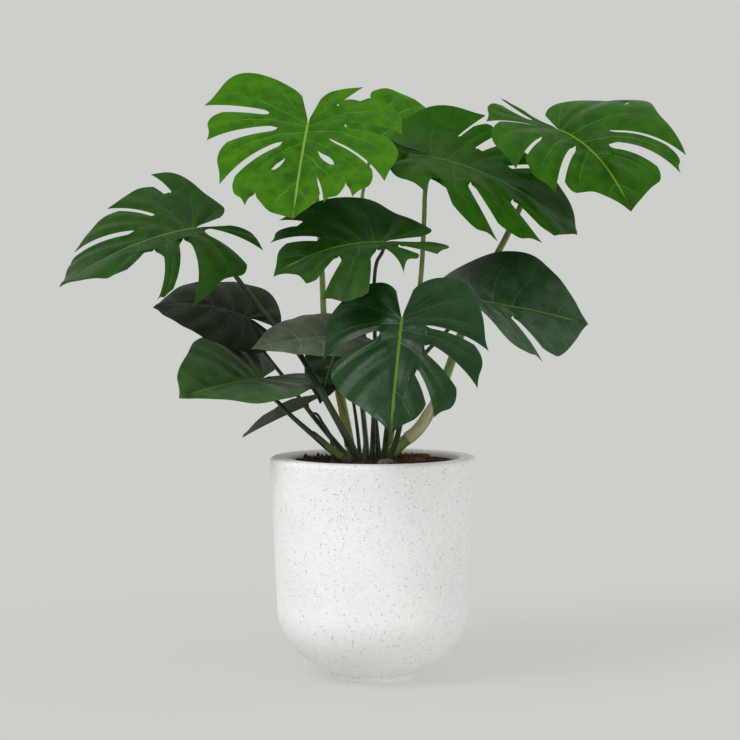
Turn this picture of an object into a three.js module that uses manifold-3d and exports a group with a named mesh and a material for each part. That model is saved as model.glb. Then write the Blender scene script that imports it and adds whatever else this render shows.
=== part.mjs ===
// A monstera in a round planter: a heavy cast pot, the soil in it, and thirteen leaves on long stalks.
// Millimetres, +Z up. The origin is the centre of the pot's foot and the plant's front faces -Y.
import * as THREE from "three";
import { mergeVertices } from "three/addons/utils/BufferGeometryUtils.js";
import Module from "manifold-3d";

const wasm = await Module();
wasm.setup();

// ---- planter ----
const POT_HEIGHT = 340;
const POT_RIM_RADIUS = 160;
const POT_BELLY_RADIUS = 149;      // where the straight side meets the rounded bottom
const POT_BELLY_HEIGHT = 110;
const POT_BOTTOM_START = 15;       // the bottom curve is a quarter ellipse that starts this far out
const POT_FOOT_RADIUS = 67;
const POT_FOOT_EDGE = 2;           // chamfer round the foot
const POT_LIP_ROUND = 7;
const POT_MOUTH_RADIUS = 130;
const POT_BEND_RADIUS = 124;       // the inside narrows to here, then curves in to its floor
const POT_BEND_HEIGHT = 120;
const POT_FLOOR_RADIUS = 60;
const POT_FLOOR_HEIGHT = 40;
const POT_SEGMENTS = 40;
const BOTTOM_STEPS = 9;
const LIP_STEPS = 4;
const CAVITY_STEPS = 5;

// ---- soil ----
const FIT_GAP = 0.3;               // clear space kept between pieces that touch
const SOIL_LEVEL = 331;            // height of the soil at the pot wall
const SOIL_MOUND = 4;              // rise towards the stalks
const SOIL_LUMP = 1.5;             // height of the lumps in the surface
const SOIL_CALMING = 4;            // how sharply the lumps fade out near the wall
const SOIL_RINGS = 7;
const PLANTING_DEPTH = 32;         // how deep the stalks go into the soil

// ---- leaves ----
const BLADE_THICKNESS = 1.4;
const MIDRIB_RADIUS = 2.4;
const MIDRIB_TIP_RADIUS = 0.9;
const MIDRIB_RINGS = 7;
const MIDRIB_SIDES = 6;
const RIM_ANGLES = [0, 12, 30, 55, 80, 105, 130, 155];   // degrees from the tip, seen from the stalk
const SINUS_ANGLE = 166;           // where the notch over the stalk begins
const SINUS_SHORTENING = 0.93;
const SIDE_VEIN_BOW = 0.15;        // how far a side vein bows back towards the stalk
const SLIT_ROWS = [0, 0.25, 0.5, 0.6, 1];                 // shares of a lobe between midrib and margin
const SLIT_COLUMNS = [0, 0.3, 0.7, 1];                    // shares of its width
const PLAIN_ROWS = [0, 0.5, 1];
const PLAIN_COLUMNS = [0, 0.5, 1];
const VEIN_BOW_END = 130;          // side veins at more than this angle from the tip run straight
const VEIN_BOW_FADE = 30;
const SLIT_INNER_END = 7;          // width of the round inner end of a slit, with a share of its mouth
const SLIT_INNER_SHARE = 0.25;
const SLIT_INNER_CLOSING = 0.8;
const SLIT_END_LENGTH = 0.1;       // share of the slit's length that its round inner end takes
const UNCUT_DEPTH = 0.4;           // where the middle row of points lies on a vein with no slit
const BACK_CORNER = 0.5;           // share of a lobe's width over which its corner at the back is rounded
const BACK_CORNER_DROP = 0.14;
const NOTCH_CORNER_DROP = 0.3;     // the same for the lobes beside the notch over the stalk
const TIP_CORNER = 0.3;            // and over which its corner towards the leaf's tip is drawn out
const TIP_CORNER_RISE = 0.05;
const CORNER_START = 0.5;          // share of a lobe's length where its corners start
const CORNER_SHARPNESS = 1.5;
const TIP_SHARPNESS = 2;           // how much more steeply the margin runs out at the leaf's tip
const MIDRIB_END = 0.96;           // share of the blade's length that the midrib reaches
const KNEE_LENGTH = 14;            // the stiff knee by which a stalk meets its blade
const KNEE_START = 0.97;           // share of the stalk's length where the knee swells
const KNEE_SWELLING = 1.12;
const STALK_TAPER = 2.2;           // how soon the thick foot of a stalk thins out
const STALK_SIDES = 6;
const STALK_RING_SPACING = 40;
const STALK_FEWEST_RINGS = 5;
const WELD = 1e-4;
const TINY = 1e-6;
const ROOT_NUDGE = 0.003;          // small steps used to find the direction across a vein
const ANGLE_NUDGE = 0.03;
const NORMAL_STEP = 0.5;

/** Side veins of an unbroken blade: [root on the midrib, angle at the margin, slit depth, slit mouth]. */
const PLAIN_VEINS = [[0, 132, 1, 0], [4, 98, 1, 0], [16, 68, 1, 0], [40, 44, 1, 0], [78, 25, 1, 0]];

const GREENS = {
  bright: 0x3f9a1c, mid: 0x256d16, mid_dull: 0x2c6436, deep: 0x1d5426, dark: 0x173f24, pale: 0x6f8a6a,
};
const STALK_GREENS = { young: 0x7da24a, old: 0x3b5a2c };
const YOUNG_LEAVES = ["bright"];

// Each leaf: at is where the stalk meets the blade; turn is the yaw of the tip, its dip and the roll;
// droop bends the tip and the back lobes, in degrees per 100 mm; fold and cup shape the left and right
// half about the midrib; rim is the reach of the margin at each of RIM_ANGLES after the tip. A vein with
// a depth under 1 ends in a slit that starts at that share of the vein. Left and right are as seen from
// above with the tip ahead. The stalk is given from the soil upwards.
const LEAVES = [
  {
    name: "top_left", green: "bright", at: [-101, 20, 852], long: 226,
    turn: [-96, 36, 1], droop: [5, -15], fold: [-9, -15], cup: [19, 6], twist: 3,
    left: {
      rim: [200, 200, 175, 145, 145, 125, 90],
      veins: [[4, 133, 0.5, 30], [20, 79, 0.4, 30], [30, 41, 0.25, 6], [60, 24, 0.9, 6], [100, 12, 0.4, 4]],
    },
    right: {
      rim: [215, 200, 160, 155, 155, 150, 100],
      veins: [[0, 125, 1, 0], [4, 92, 0.4, 22], [16, 61, 0.3, 24], [36, 34, 0.23, 14], [70, 18, 0.9, 16]],
    },
    stalk: [
      [-33, -4, 334], [-36, 4, 357], [-51, 52, 430], [-64, 106, 481],
      [-77, 114, 535], [-81, 100, 614], [-85, 62, 697], [-94, 45, 790],
    ],
    stalkRadii: [8, 4.2],
  },
  {
    name: "far_left", green: "deep", at: [-271, -40, 690], long: 233,
    turn: [-143, 8, -40], droop: [17, -3], fold: [-23, 11], cup: [34, 3], twist: 11,
    left: {
      rim: [205, 180, 190, 130, 120, 105, 90],
      veins: [[0, 123, 0.15, 60], [34, 56, 0.2, 38], [74, 37, 0.38, 70], [120, 17, 1, 0]],
    },
    right: {
      rim: [215, 195, 165, 155, 165, 105, 85],
      veins: [[0, 135, 1, 0], [10, 96, 0.66, 21], [22, 62, 0.4, 10], [44, 27, 0.33, 23], [110, 14, 1, 0]],
    },
    stalk: [
      [-24, -45, 334], [-30, -50, 352], [-72, -64, 431], [-112, -26, 497],
      [-136, 6, 522], [-172, 8, 565], [-212, -15, 619], [-237, -28, 653],
    ],
    stalkRadii: [7, 3.6],
  },
  {
    name: "middle", green: "deep", at: [14, -100, 668], long: 174,
    turn: [-176, -1, -16], droop: [22, -5], fold: [-5, -14], cup: [32, -7], twist: -9,
    left: {
      rim: [145, 145, 150, 135, 90, 90, 105],
      veins: [[0, 134, 0.35, 17], [26, 86, 0.33, 80], [49, 37, 0.38, 30], [90, 18, 1, 0]],
    },
    right: {
      rim: [160, 165, 140, 120, 95, 90, 90],
      veins: [[0, 120, 1, 0], [8, 85, 1, 0], [22, 58, 1, 0], [38, 34, 0.78, 18], [56, 21, 0.38, 12]],
    },
    stalk: [[-2, -30, 334], [1, -58, 430], [2, -88, 515], [1, -88, 609], [5, -92, 639]],
    stalkRadii: [5, 2.8],
  },
  {
    name: "upper_right", green: "mid", at: [91, 50, 803], long: 260,
    turn: [-12, 13, 23], droop: [13, -5], fold: [12, -13], cup: [-19, 13], twist: 3,
    left: {
      rim: [245, 210, 165, 180, 190, 125, 80],
      veins: [[0, 118, 1, 0], [10, 78, 0.62, 5], [40, 60, 0.58, 25], [78, 36, 0.5, 12], [140, 17, 1, 0]],
    },
    right: {
      rim: [240, 230, 215, 145, 130, 110, 85],
      veins: [[0, 125, 0.45, 55], [30, 70, 0.62, 70], [44, 45, 0.4, 22], [88, 22, 0.5, 30], [150, 12, 1, 0]],
    },
    stalk: [
      [22, 40, 334], [29, 42, 377], [48, 48, 471], [65, 50, 549],
      [74, 52, 615], [79, 55, 705], [81, 55, 753],
    ],
    stalkRadii: [5.5, 3.8],
  },
  {
    name: "top_right", green: "bright", at: [291, 80, 846], long: 208,
    turn: [-55, 16, 10], droop: [24, -20], fold: [-33, -16], cup: [28, 16], twist: 12,
    left: {
      rim: [195, 200, 155, 150, 110, 95, 80],
      veins: [[0, 112, 1, 0], [14, 72, 1, 0], [44, 34, 0.32, 6], [72, 24, 0.25, 18], [110, 12, 1, 0]],
    },
    right: {
      rim: [170, 170, 155, 145, 120, 120, 110],
      veins: [[0, 150, 0.4, 30], [4, 106, 0.32, 5], [20, 60, 0.45, 7], [58, 34, 0.2, 12], [104, 16, 1, 0]],
    },
    stalk: [
      [5, 12, 334], [24, 12, 342], [45, 12, 360], [70, 12, 380],
      [99, 12, 430], [139, 32, 536], [168, 74, 603], [212, 100, 683],
      [250, 120, 765], [267, 152, 798], [281, 142, 821],
    ],
    stalkRadii: [11, 4.6],
  },
  {
    name: "front", green: "dark", at: [41, -185, 556], long: 194,
    turn: [-99, 50, -2], droop: [6, -4], fold: [-5, 7], cup: [17, 16], twist: -4,
    left: {
      rim: [170, 165, 145, 125, 115, 110, 80],
      veins: [[0, 130, 1, 0], [4, 98, 1, 0], [13, 72, 0.28, 7], [30, 43, 0.3, 33], [56, 19, 0.33, 9]],
    },
    right: {
      rim: [165, 150, 130, 120, 120, 105, 80],
      veins: [[0, 132, 1, 0], [3, 96, 1, 0], [18, 60, 0.25, 25], [44, 36, 1, 0], [82, 20, 1, 0]],
    },
    stalk: [[16, -48, 334], [22, -80, 402], [33, -140, 480], [39, -160, 524]],
    stalkRadii: [5.5, 3.6],
  },
  {
    name: "right", green: "dark", at: [156, -30, 581], long: 189,
    turn: [16, 9, 19], droop: [3, 0], fold: [-6, -16], cup: [-3, 26], twist: 28,
    left: { rim: [165, 150, 145, 125, 100, 85, 70], veins: PLAIN_VEINS },
    right: {
      rim: [170, 155, 135, 130, 110, 100, 80],
      veins: [[0, 132, 1, 0], [4, 98, 1, 0], [16, 66, 1, 0], [24, 45, 0.4, 26], [90, 22, 1, 0]],
    },
    stalk: [[24, -15, 334], [35, -14, 366], [65, -24, 479], [115, -22, 537], [137, -22, 561]],
    stalkRadii: [5.5, 3],
  },
  {
    name: "dark_left", green: "dark", at: [-198, 110, 550], long: 157,
    turn: [-169, -26, -29], droop: [28, 13], fold: [4, -8], cup: [9, 8], twist: 4,
    left: { rim: [140, 125, 110, 95, 80, 70, 60], veins: PLAIN_VEINS },
    right: { rim: [145, 130, 105, 100, 100, 75, 60], veins: PLAIN_VEINS },
    stalk: [
      [-35, -27, 334], [-50, -10, 351], [-106, 62, 412],
      [-132, 100, 445], [-152, 112, 468], [-177, 114, 500],
    ],
    stalkRadii: [6, 3],
  },
  {
    name: "low_left", green: "mid_dull", at: [-172, 20, 459], long: 208,
    turn: [-121, 1, -27], droop: [5, -13], fold: [-20, -13], cup: [-6, 11], twist: -6,
    left: { rim: [160, 160, 140, 110, 100, 90, 85], veins: PLAIN_VEINS },
    right: { rim: [180, 140, 120, 110, 110, 105, 70], veins: PLAIN_VEINS },
    stalk: [[-44, -48, 334], [-74, -48, 361], [-127, -44, 407], [-146, -28, 425]],
    stalkRadii: [7, 3],
  },
  {
    name: "pale", green: "pale", at: [-57, -45, 527], long: 134,
    turn: [-160, 3, -22], droop: [8, 8], fold: [-8, -8], cup: [12, 12], twist: 0,
    left: { rim: [115, 100, 85, 80, 75, 65, 55], veins: PLAIN_VEINS },
    right: { rim: [115, 100, 85, 80, 75, 65, 55], veins: PLAIN_VEINS },
    stalk: [[-10, -10, 334], [-17, -15, 409], [-33, -28, 474], [-46, -38, 502]],
    stalkRadii: [4, 2.4],
  },
  {
    name: "hanging", green: "dark", at: [-56, 62, 509], long: 100,
    turn: [-130, 60, 0], droop: [10, 0], fold: [-5, -5], cup: [12, 12], twist: 0,
    left: { rim: [85, 75, 65, 60, 55, 50, 40], veins: PLAIN_VEINS },
    right: { rim: [85, 75, 65, 60, 55, 50, 40], veins: PLAIN_VEINS },
    stalk: [[-21, 22, 334], [-27, 40, 393], [-38, 62, 454], [-49, 70, 489]],
    stalkRadii: [3.6, 2.4],
  },
  {
    name: "narrow", green: "mid_dull", at: [-103, 8, 420], long: 112,
    turn: [-180, 24, 8], droop: [6, 0], fold: [-24, -18], cup: [14, 14], twist: 0,
    left: { rim: [90, 60, 45, 30, 25, 25, 25], veins: PLAIN_VEINS },
    right: { rim: [90, 60, 45, 30, 25, 25, 25], veins: PLAIN_VEINS },
    stalk: [[-60, -24, 334], [-67, -20, 374], [-78, -13, 392], [-87, -4, 405]],
    stalkRadii: [4.5, 2],
  },
  {
    name: "back", green: "bright", at: [17, 200, 874], long: 165,
    turn: [-30, 38, 20], droop: [10, 0], fold: [-10, -10], cup: [15, 15], twist: 0,
    left: { rim: [135, 120, 100, 95, 85, 80, 65], veins: PLAIN_VEINS },
    right: { rim: [135, 120, 100, 95, 85, 80, 65], veins: PLAIN_VEINS },
    stalk: [
      [-10, 50, 334], [-18, 80, 422], [-26, 130, 531],
      [-26, 170, 643], [-17, 195, 754], [-5, 200, 809],
    ],
    stalkRadii: [5, 3],
  },
];

/** Dry sheaths that clasp a stalk from one share of its length to another; spread is in degrees. */
const SHEATHS = [
  { stalk: "top_right", from: 0.13, to: 0.24, facing: [-0.3, -1, 0.5], spread: 80, color: 0xc9b98c },
  { stalk: "top_left", from: 0.09, to: 0.26, facing: [-0.8, -0.6, 0], spread: 70, color: 0xb7b04a },
  { stalk: "low_left", from: 0.17, to: 0.4, facing: [0.2, -0.6, 0.8], spread: 85, color: 0x55702f },
];
const SHEATH_THICKNESS = 0.8;
const SHEATH_CLEARANCE = 0.5;
const SHEATH_POINTEDNESS = 0.85;   // how much of its spread a sheath loses by its upper end
const SHEATH_ROWS = 7;
const SHEATH_COLUMNS = 4;

/** Rolled young leaves that stand among the stalks. */
const SPEAR_RINGS = 7;
const SPEAR_BULGE = 2;
const SPEAR_THINNING = 0.88;       // share of its radius that a spear loses by its tip
const SPEAR_TAPER = 1.6;
const SPEARS = [
  { name: "tall", foot: [8, -12, 334], top: [5, -20, 404], radius: 5.5 },
  { name: "short", foot: [-14, -64, 333], top: [-13, -66, 386], radius: 4.5 },
];

/** Pieces of bark and a stone that lie in the soil: size is length, width and height. */
const CHIP_ROUGHNESS = 0.14;
const CHIP_LIFT = 0.18;            // share of its height by which a piece's centre clears the soil
const CHIPS = [
  { kind: "bark", name: "long", at: [62, 34], size: [58, 22, 12], turn: 12, seed: 1, color: 0x5b3a22 },
  { kind: "bark", name: "front", at: [62, -30], size: [40, 20, 10], turn: -20, seed: 2, color: 0x4a2f1d },
  { kind: "bark", name: "left", at: [-88, 14], size: [26, 18, 9], turn: 40, seed: 3, color: 0x5e4330 },
  { kind: "stone", name: "grey", at: [18, -84], size: [26, 18, 14], turn: 25, seed: 4, color: 0x6d655e },
];

const rad = THREE.MathUtils.degToRad;
const lerp = THREE.MathUtils.lerp;
const clamp = THREE.MathUtils.clamp;

// ------------------------------------------------------------ solids

/** A closed solid from a list of corner points and a list of triangles, three indices each. */
function solidOf(corners, triangles) {
  const vertProperties = new Float32Array(corners.flatMap((p) => [p.x, p.y, p.z]));
  const triVerts = new Uint32Array(triangles.flat());
  return new wasm.Manifold(new wasm.Mesh({ numProp: 3, vertProperties, triVerts }));
}

/** A three.js geometry as a solid: only positions, with shared corners. */
function solidOfGeometry(geometry) {
  const bare = geometry.clone();
  for (const name of Object.keys(bare.attributes)) {
    if (name !== "position") bare.deleteAttribute(name);
  }
  const welded = mergeVertices(bare, WELD);
  const positions = welded.getAttribute("position");
  const corners = [];
  for (let i = 0; i < positions.count; i += 1) {
    corners.push(new THREE.Vector3().fromBufferAttribute(positions, i));
  }
  const index = welded.getIndex().array;
  const triangles = [];
  for (let i = 0; i < index.length; i += 3) {
    const triangle = [index[i], index[i + 1], index[i + 2]];
    if (new Set(triangle).size === 3) triangles.push(triangle);
  }
  return solidOf(corners, triangles);
}

/** The largest separate piece of a solid. */
function largestPiece(solid) {
  return solid.decompose().sort((a, b) => b.volume() - a.volume())[0];
}

/** A solid as a three.js geometry. */
function geometryOf(solid) {
  const mesh = solid.getMesh();
  const geometry = new THREE.BufferGeometry();
  const positions = new THREE.BufferAttribute(new Float32Array(mesh.vertProperties), 3);
  geometry.setAttribute("position", positions);
  geometry.setIndex(new THREE.BufferAttribute(new Uint32Array(mesh.triVerts), 1));
  return geometry;
}

/** A sheet given as triangles over points that carry a place and a normal, thickened both ways. */
function thicken(points, triangles, thickness) {
  const half = thickness / 2;
  const above = points.map((p) => p.place.clone().addScaledVector(p.normal, half));
  const below = points.map((p) => p.place.clone().addScaledVector(p.normal, -half));
  const count = points.length;
  const faces = [];
  const edges = new Map();
  for (const [a, b, c] of triangles) {
    faces.push([a, b, c], [c + count, b + count, a + count]);
    for (const [from, to] of [[a, b], [b, c], [c, a]]) {
      const back = `${to}_${from}`;
      if (edges.has(back)) edges.delete(back);
      else edges.set(`${from}_${to}`, [from, to]);
    }
  }
  for (const [from, to] of edges.values()) {
    faces.push([to, from, from + count], [to, from + count, to + count]);
  }
  return solidOf([...above, ...below], faces);
}

/** A round bar along a curve; radiusAt takes 0 at the start and 1 at the end. */
function barSolid(curve, radiusAt, rings, sides) {
  const frames = curve.computeFrenetFrames(rings, false);
  const corners = [];
  const triangles = [];
  for (let i = 0; i <= rings; i += 1) {
    const centre = curve.getPointAt(i / rings);
    const radius = radiusAt(i / rings);
    for (let k = 0; k < sides; k += 1) {
      const turn = (k / sides) * Math.PI * 2;
      corners.push(centre.clone()
        .addScaledVector(frames.normals[i], Math.cos(turn) * radius)
        .addScaledVector(frames.binormals[i], Math.sin(turn) * radius));
    }
  }
  for (let i = 0; i < rings; i += 1) {
    for (let k = 0; k < sides; k += 1) {
      const next = (k + 1) % sides;
      const [a, b, c, d] = [i * sides + k, i * sides + next, (i + 1) * sides + next, (i + 1) * sides + k];
      triangles.push([a, b, c], [a, c, d]);
    }
  }
  const start = corners.push(curve.getPointAt(0)) - 1;
  const end = corners.push(curve.getPointAt(1)) - 1;
  for (let k = 0; k < sides; k += 1) {
    const next = (k + 1) % sides;
    triangles.push([start, next, k], [end, rings * sides + k, rings * sides + next]);
  }
  return solidOf(corners, triangles);
}

// ------------------------------------------------------------ leaf blades

/** Distance from the stalk's end to the margin at an angle from the tip: a smooth curve through the table. */
function rimRadius(half, long, angle) {
  const angles = [...RIM_ANGLES, SINUS_ANGLE];
  const radii = [long, ...half.rim, half.rim[half.rim.length - 1] * SINUS_SHORTENING];
  const slopes = radii.slice(1).map((r, i) => (r - radii[i]) / (angles[i + 1] - angles[i]));
  const tangent = (i) => (i === 0
    ? slopes[0] * TIP_SHARPNESS
    : (slopes[i - 1] + slopes[Math.min(i, slopes.length - 1)]) / 2);
  const at = clamp(angle, 0, SINUS_ANGLE);
  const i = clamp(angles.findLastIndex((a) => a <= at), 0, slopes.length - 1);
  const span = angles[i + 1] - angles[i];
  const t = (at - angles[i]) / span;
  const s = 1 - t;
  return radii[i] * (1 + 2 * t) * s * s + tangent(i) * span * t * s * s
    + radii[i + 1] * t * t * (3 - 2 * t) - tangent(i + 1) * span * t * t * s;
}

/** A point on a side vein of the flat blade: it leaves the midrib at root and bows out to the margin. */
function veinPoint(half, long, root, angle, t) {
  const radius = rimRadius(half, long, angle);
  const out = [radius * Math.cos(rad(angle)) - root, radius * Math.sin(rad(angle))];
  const fade = clamp((VEIN_BOW_END - angle) / VEIN_BOW_FADE, 0, 1);
  const bow = 2 * t * (1 - t) * SIDE_VEIN_BOW * fade;
  return [root + out[0] * t - Math.abs(out[1]) * bow, out[1] * t + out[0] * bow];
}

/** Width of a slit beyond its inner end: round at first, then widening to the mouth. */
function slitWidth(depth, mouth, t) {
  if (mouth === 0 || t <= depth) return 0;
  const along = (t - depth) / (1 - depth);
  const inner = SLIT_INNER_CLOSING * Math.min(mouth, SLIT_INNER_END + SLIT_INNER_SHARE * mouth);
  return inner * Math.sqrt(Math.min(along / SLIT_END_LENGTH, 1)) + (mouth - inner) * along;
}

/** Share of a side vein covered at a row: row 0.5 lies at the inner end of a slit. */
function rowShare(depth, row) {
  const end = depth < 1 ? depth : UNCUT_DEPTH;
  return row < 0.5 ? end * row * 2 : end + (1 - end) * (row - 0.5) * 2;
}

/** What a lobe's outer corners add to its length, by share of its width: less at the back, more ahead. */
function cornerRise(x, fromDepth, fromMouth, toMouth) {
  const drop = fromDepth === 0 ? NOTCH_CORNER_DROP : BACK_CORNER_DROP;
  const back = fromDepth === 0 || fromMouth > 0 ? clamp((BACK_CORNER - x) / BACK_CORNER, 0, 1) : 0;
  const ahead = toMouth > 0 ? clamp((x - 1 + TIP_CORNER) / TIP_CORNER, 0, 1) : 0;
  return ahead ** 2 * TIP_CORNER_RISE - back ** 2 * drop;
}

/** The flat outline of one half blade, cut by its slits, as a net of points [u, v] and triangles. */
function halfBladeNet(half, long, side) {
  const seams = [[0, SINUS_ANGLE, 0, 0], ...half.veins, [long, 0, 1, 0]];
  const slit = half.veins.some(([, , depth]) => depth < 1);
  const [rows, columns] = slit ? [SLIT_ROWS, SLIT_COLUMNS] : [PLAIN_ROWS, PLAIN_COLUMNS];
  const flat = [];
  const triangles = [];
  const known = new Map();
  const indexOf = ([u, v]) => {
    const key = `${Math.round(u * 100)}_${Math.round(v * 100)}`;
    if (!known.has(key)) known.set(key, flat.push([u, v]) - 1);
    return known.get(key);
  };
  for (let lobe = 0; lobe + 1 < seams.length; lobe += 1) {
    const [fromRoot, fromAngle, fromDepth, fromMouth] = seams[lobe];
    const [toRoot, toAngle, toDepth, toMouth] = seams[lobe + 1];
    const net = rows.map((row) => columns.map((x) => {
      const even = lerp(rowShare(fromDepth, row), rowShare(toDepth, row), x);
      const outer = clamp((even - CORNER_START) / (1 - CORNER_START), 0, 1) ** CORNER_SHARPNESS;
      const t = even + outer * cornerRise(x, fromDepth, fromMouth, toMouth);
      const root = lerp(fromRoot, toRoot, x);
      const angle = lerp(fromAngle, toAngle, x);
      const point = veinPoint(half, long, root, angle, t);
      const ahead = veinPoint(half, long, root + ROOT_NUDGE, angle - ANGLE_NUDGE, t);
      const across = [ahead[0] - point[0], ahead[1] - point[1]];
      const fromSlit = (1 - x) * slitWidth(fromDepth, fromMouth, t) / 2;
      const toSlit = x * slitWidth(toDepth, toMouth, t) / 2;
      const shift = (fromSlit - toSlit) / (Math.hypot(...across) + TINY);
      return indexOf([point[0] + across[0] * shift, side * (point[1] + across[1] * shift)]);
    }));
    for (let j = 0; j + 1 < net.length; j += 1) {
      for (let k = 0; k + 1 < net[j].length; k += 1) {
        const [a, b, c, d] = [net[j][k], net[j][k + 1], net[j + 1][k + 1], net[j + 1][k]];
        for (const t of [[a, b, c], [a, c, d]]) {
          if (new Set(t).size < 3) continue;
          triangles.push(side > 0 ? t : t.reverse());
        }
      }
    }
  }
  return { flat, triangles };
}

/** Along and down distances of an arc that leaves at an angle and bends at a rate, both in radians. */
function arc(start, bend, length) {
  const rate = Math.abs(bend) < TINY ? TINY : bend;
  return [
    (Math.sin(start + rate * length) - Math.sin(start)) / rate,
    (Math.cos(start) - Math.cos(start + rate * length)) / rate,
  ];
}

/** The place in space of a point of the flat blade, once the blade droops, folds, cups and twists. */
function bladePlace(leaf, u, v) {
  const [yaw, pitch, roll] = leaf.turn.map(rad);
  const tip = new THREE.Vector3(
    Math.cos(yaw) * Math.cos(pitch), Math.sin(yaw) * Math.cos(pitch), -Math.sin(pitch));
  const level = new THREE.Vector3(-Math.sin(yaw), Math.cos(yaw), 0);
  const upright = new THREE.Vector3().crossVectors(tip, level);
  const across = level.multiplyScalar(Math.cos(roll)).addScaledVector(upright, Math.sin(roll));
  const up = new THREE.Vector3().crossVectors(tip, across);
  const droop = rad(leaf.droop[u >= 0 ? 0 : 1]) / 100;
  const [along, down] = arc(0, droop, u);
  const half = v >= 0 ? 0 : 1;
  const [width, sag] = arc(rad(leaf.fold[half]), rad(leaf.cup[half]) / 100, Math.abs(v));
  const twist = rad(leaf.twist) / 100 * u;
  const sideways = v >= 0 ? width : -width;
  const wide = sideways * Math.cos(twist) + sag * Math.sin(twist);
  const deep = -sideways * Math.sin(twist) + sag * Math.cos(twist);
  return new THREE.Vector3(...leaf.at)
    .addScaledVector(tip, along - deep * Math.sin(droop * u))
    .addScaledVector(across, wide)
    .addScaledVector(up, -down - deep * Math.cos(droop * u));
}

/** The upward normal of a blade at a point of the flat blade; side tells which half the point is on. */
function bladeNormal(leaf, u, v, side) {
  const here = bladePlace(leaf, u, v + side * WELD);
  const ahead = bladePlace(leaf, u + NORMAL_STEP, v + side * WELD).sub(here);
  const beside = bladePlace(leaf, u, v + side * NORMAL_STEP).sub(here).multiplyScalar(side);
  return ahead.cross(beside).normalize();
}

/** The midrib, a tapering bar that runs along the underside of the blade. */
function midribSolid(leaf, extra) {
  const points = [];
  for (let i = 0; i <= MIDRIB_RINGS; i += 1) {
    const u = lerp(-MIDRIB_RADIUS, leaf.long * MIDRIB_END, i / MIDRIB_RINGS);
    const normals = [1, -1].map((side) => bladeNormal(leaf, u, 0, side));
    const up = normals[0].add(normals[1]).normalize();
    const sink = lerp(MIDRIB_RADIUS, MIDRIB_TIP_RADIUS, i / MIDRIB_RINGS) / 2;
    points.push(bladePlace(leaf, u, 0).addScaledVector(up, -sink));
  }
  const curve = new THREE.CatmullRomCurve3(points);
  const radiusAt = (t) => lerp(MIDRIB_RADIUS, MIDRIB_TIP_RADIUS, t) + extra;
  return barSolid(curve, radiusAt, MIDRIB_RINGS, MIDRIB_SIDES);
}

/** A whole blade; extra thickens it, to cut a fitting end in the stalk. */
function bladeSolid(leaf, extra = 0) {
  let blade = midribSolid(leaf, extra);
  for (const [half, side] of [[leaf.left, 1], [leaf.right, -1]]) {
    const { flat, triangles } = halfBladeNet(half, leaf.long, side);
    const points = flat.map(([u, v]) => (
      { place: bladePlace(leaf, u, v), normal: bladeNormal(leaf, u, v, side) }));
    blade = blade.add(thicken(points, triangles, BLADE_THICKNESS + 2 * extra));
  }
  return largestPiece(blade);
}

// ------------------------------------------------------------ stalks

/** The line of a stalk: planted upright, along its given points, and square to the blade at its knee. */
function stalkCurve(leaf) {
  const points = leaf.stalk.map((p) => new THREE.Vector3(...p));
  const foot = points[0].clone();
  foot.z -= PLANTING_DEPTH;
  const up = bladeNormal(leaf, 1, 0, 1).add(bladeNormal(leaf, 1, 0, -1)).normalize();
  const at = new THREE.Vector3(...leaf.at);
  const knee = at.clone().addScaledVector(up, -KNEE_LENGTH);
  const end = at.addScaledVector(up, -1);
  return new THREE.CatmullRomCurve3([foot, ...points, knee, end], false, "centripetal");
}

/** Radius of a stalk: thick at the soil, slender above, and a little swollen at the knee. */
function stalkRadiusAt(leaf, t) {
  const [base, neck] = leaf.stalkRadii;
  const slender = lerp(base, neck, 1 - (1 - clamp(t, 0, 1)) ** STALK_TAPER);
  return slender * (t > KNEE_START ? KNEE_SWELLING : 1);
}

/** A stalk; extra thickens it, to cut its socket in the soil. */
function stalkSolid(leaf, extra = 0) {
  const curve = stalkCurve(leaf);
  const rings = Math.max(STALK_FEWEST_RINGS, Math.round(curve.getLength() / STALK_RING_SPACING));
  return barSolid(curve, (t) => stalkRadiusAt(leaf, t) + extra, rings, STALK_SIDES);
}

/** A thin dry sheath that clasps one side of a stalk and narrows towards its upper end. */
function sheathSolid({ leaf, from, to, facing, spread }) {
  const curve = stalkCurve(leaf);
  const points = [];
  const triangles = [];
  for (let i = 0; i <= SHEATH_ROWS; i += 1) {
    const along = i / SHEATH_ROWS;
    const t = lerp(from, to, along);
    const centre = curve.getPointAt(t);
    const axis = curve.getTangentAt(t);
    const face = new THREE.Vector3(...facing).projectOnPlane(axis).normalize();
    const side = new THREE.Vector3().crossVectors(axis, face);
    const reach = rad(spread) * (1 - SHEATH_POINTEDNESS * along ** 2);
    for (let k = 0; k <= SHEATH_COLUMNS; k += 1) {
      const turn = lerp(-reach, reach, k / SHEATH_COLUMNS);
      const normal = face.clone().multiplyScalar(Math.cos(turn)).addScaledVector(side, Math.sin(turn));
      const radius = stalkRadiusAt(leaf, t) + SHEATH_CLEARANCE + SHEATH_THICKNESS / 2;
      points.push({ place: centre.clone().addScaledVector(normal, radius), normal });
    }
  }
  const width = SHEATH_COLUMNS + 1;
  for (let i = 0; i < SHEATH_ROWS; i += 1) {
    for (let k = 0; k < SHEATH_COLUMNS; k += 1) {
      const a = i * width + k;
      triangles.push([a, a + 1, a + width + 1], [a, a + width + 1, a + width]);
    }
  }
  const sheath = thicken(points, triangles, SHEATH_THICKNESS);
  return largestPiece(sheath.subtract(stalkSolid(leaf, FIT_GAP)));
}

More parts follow.
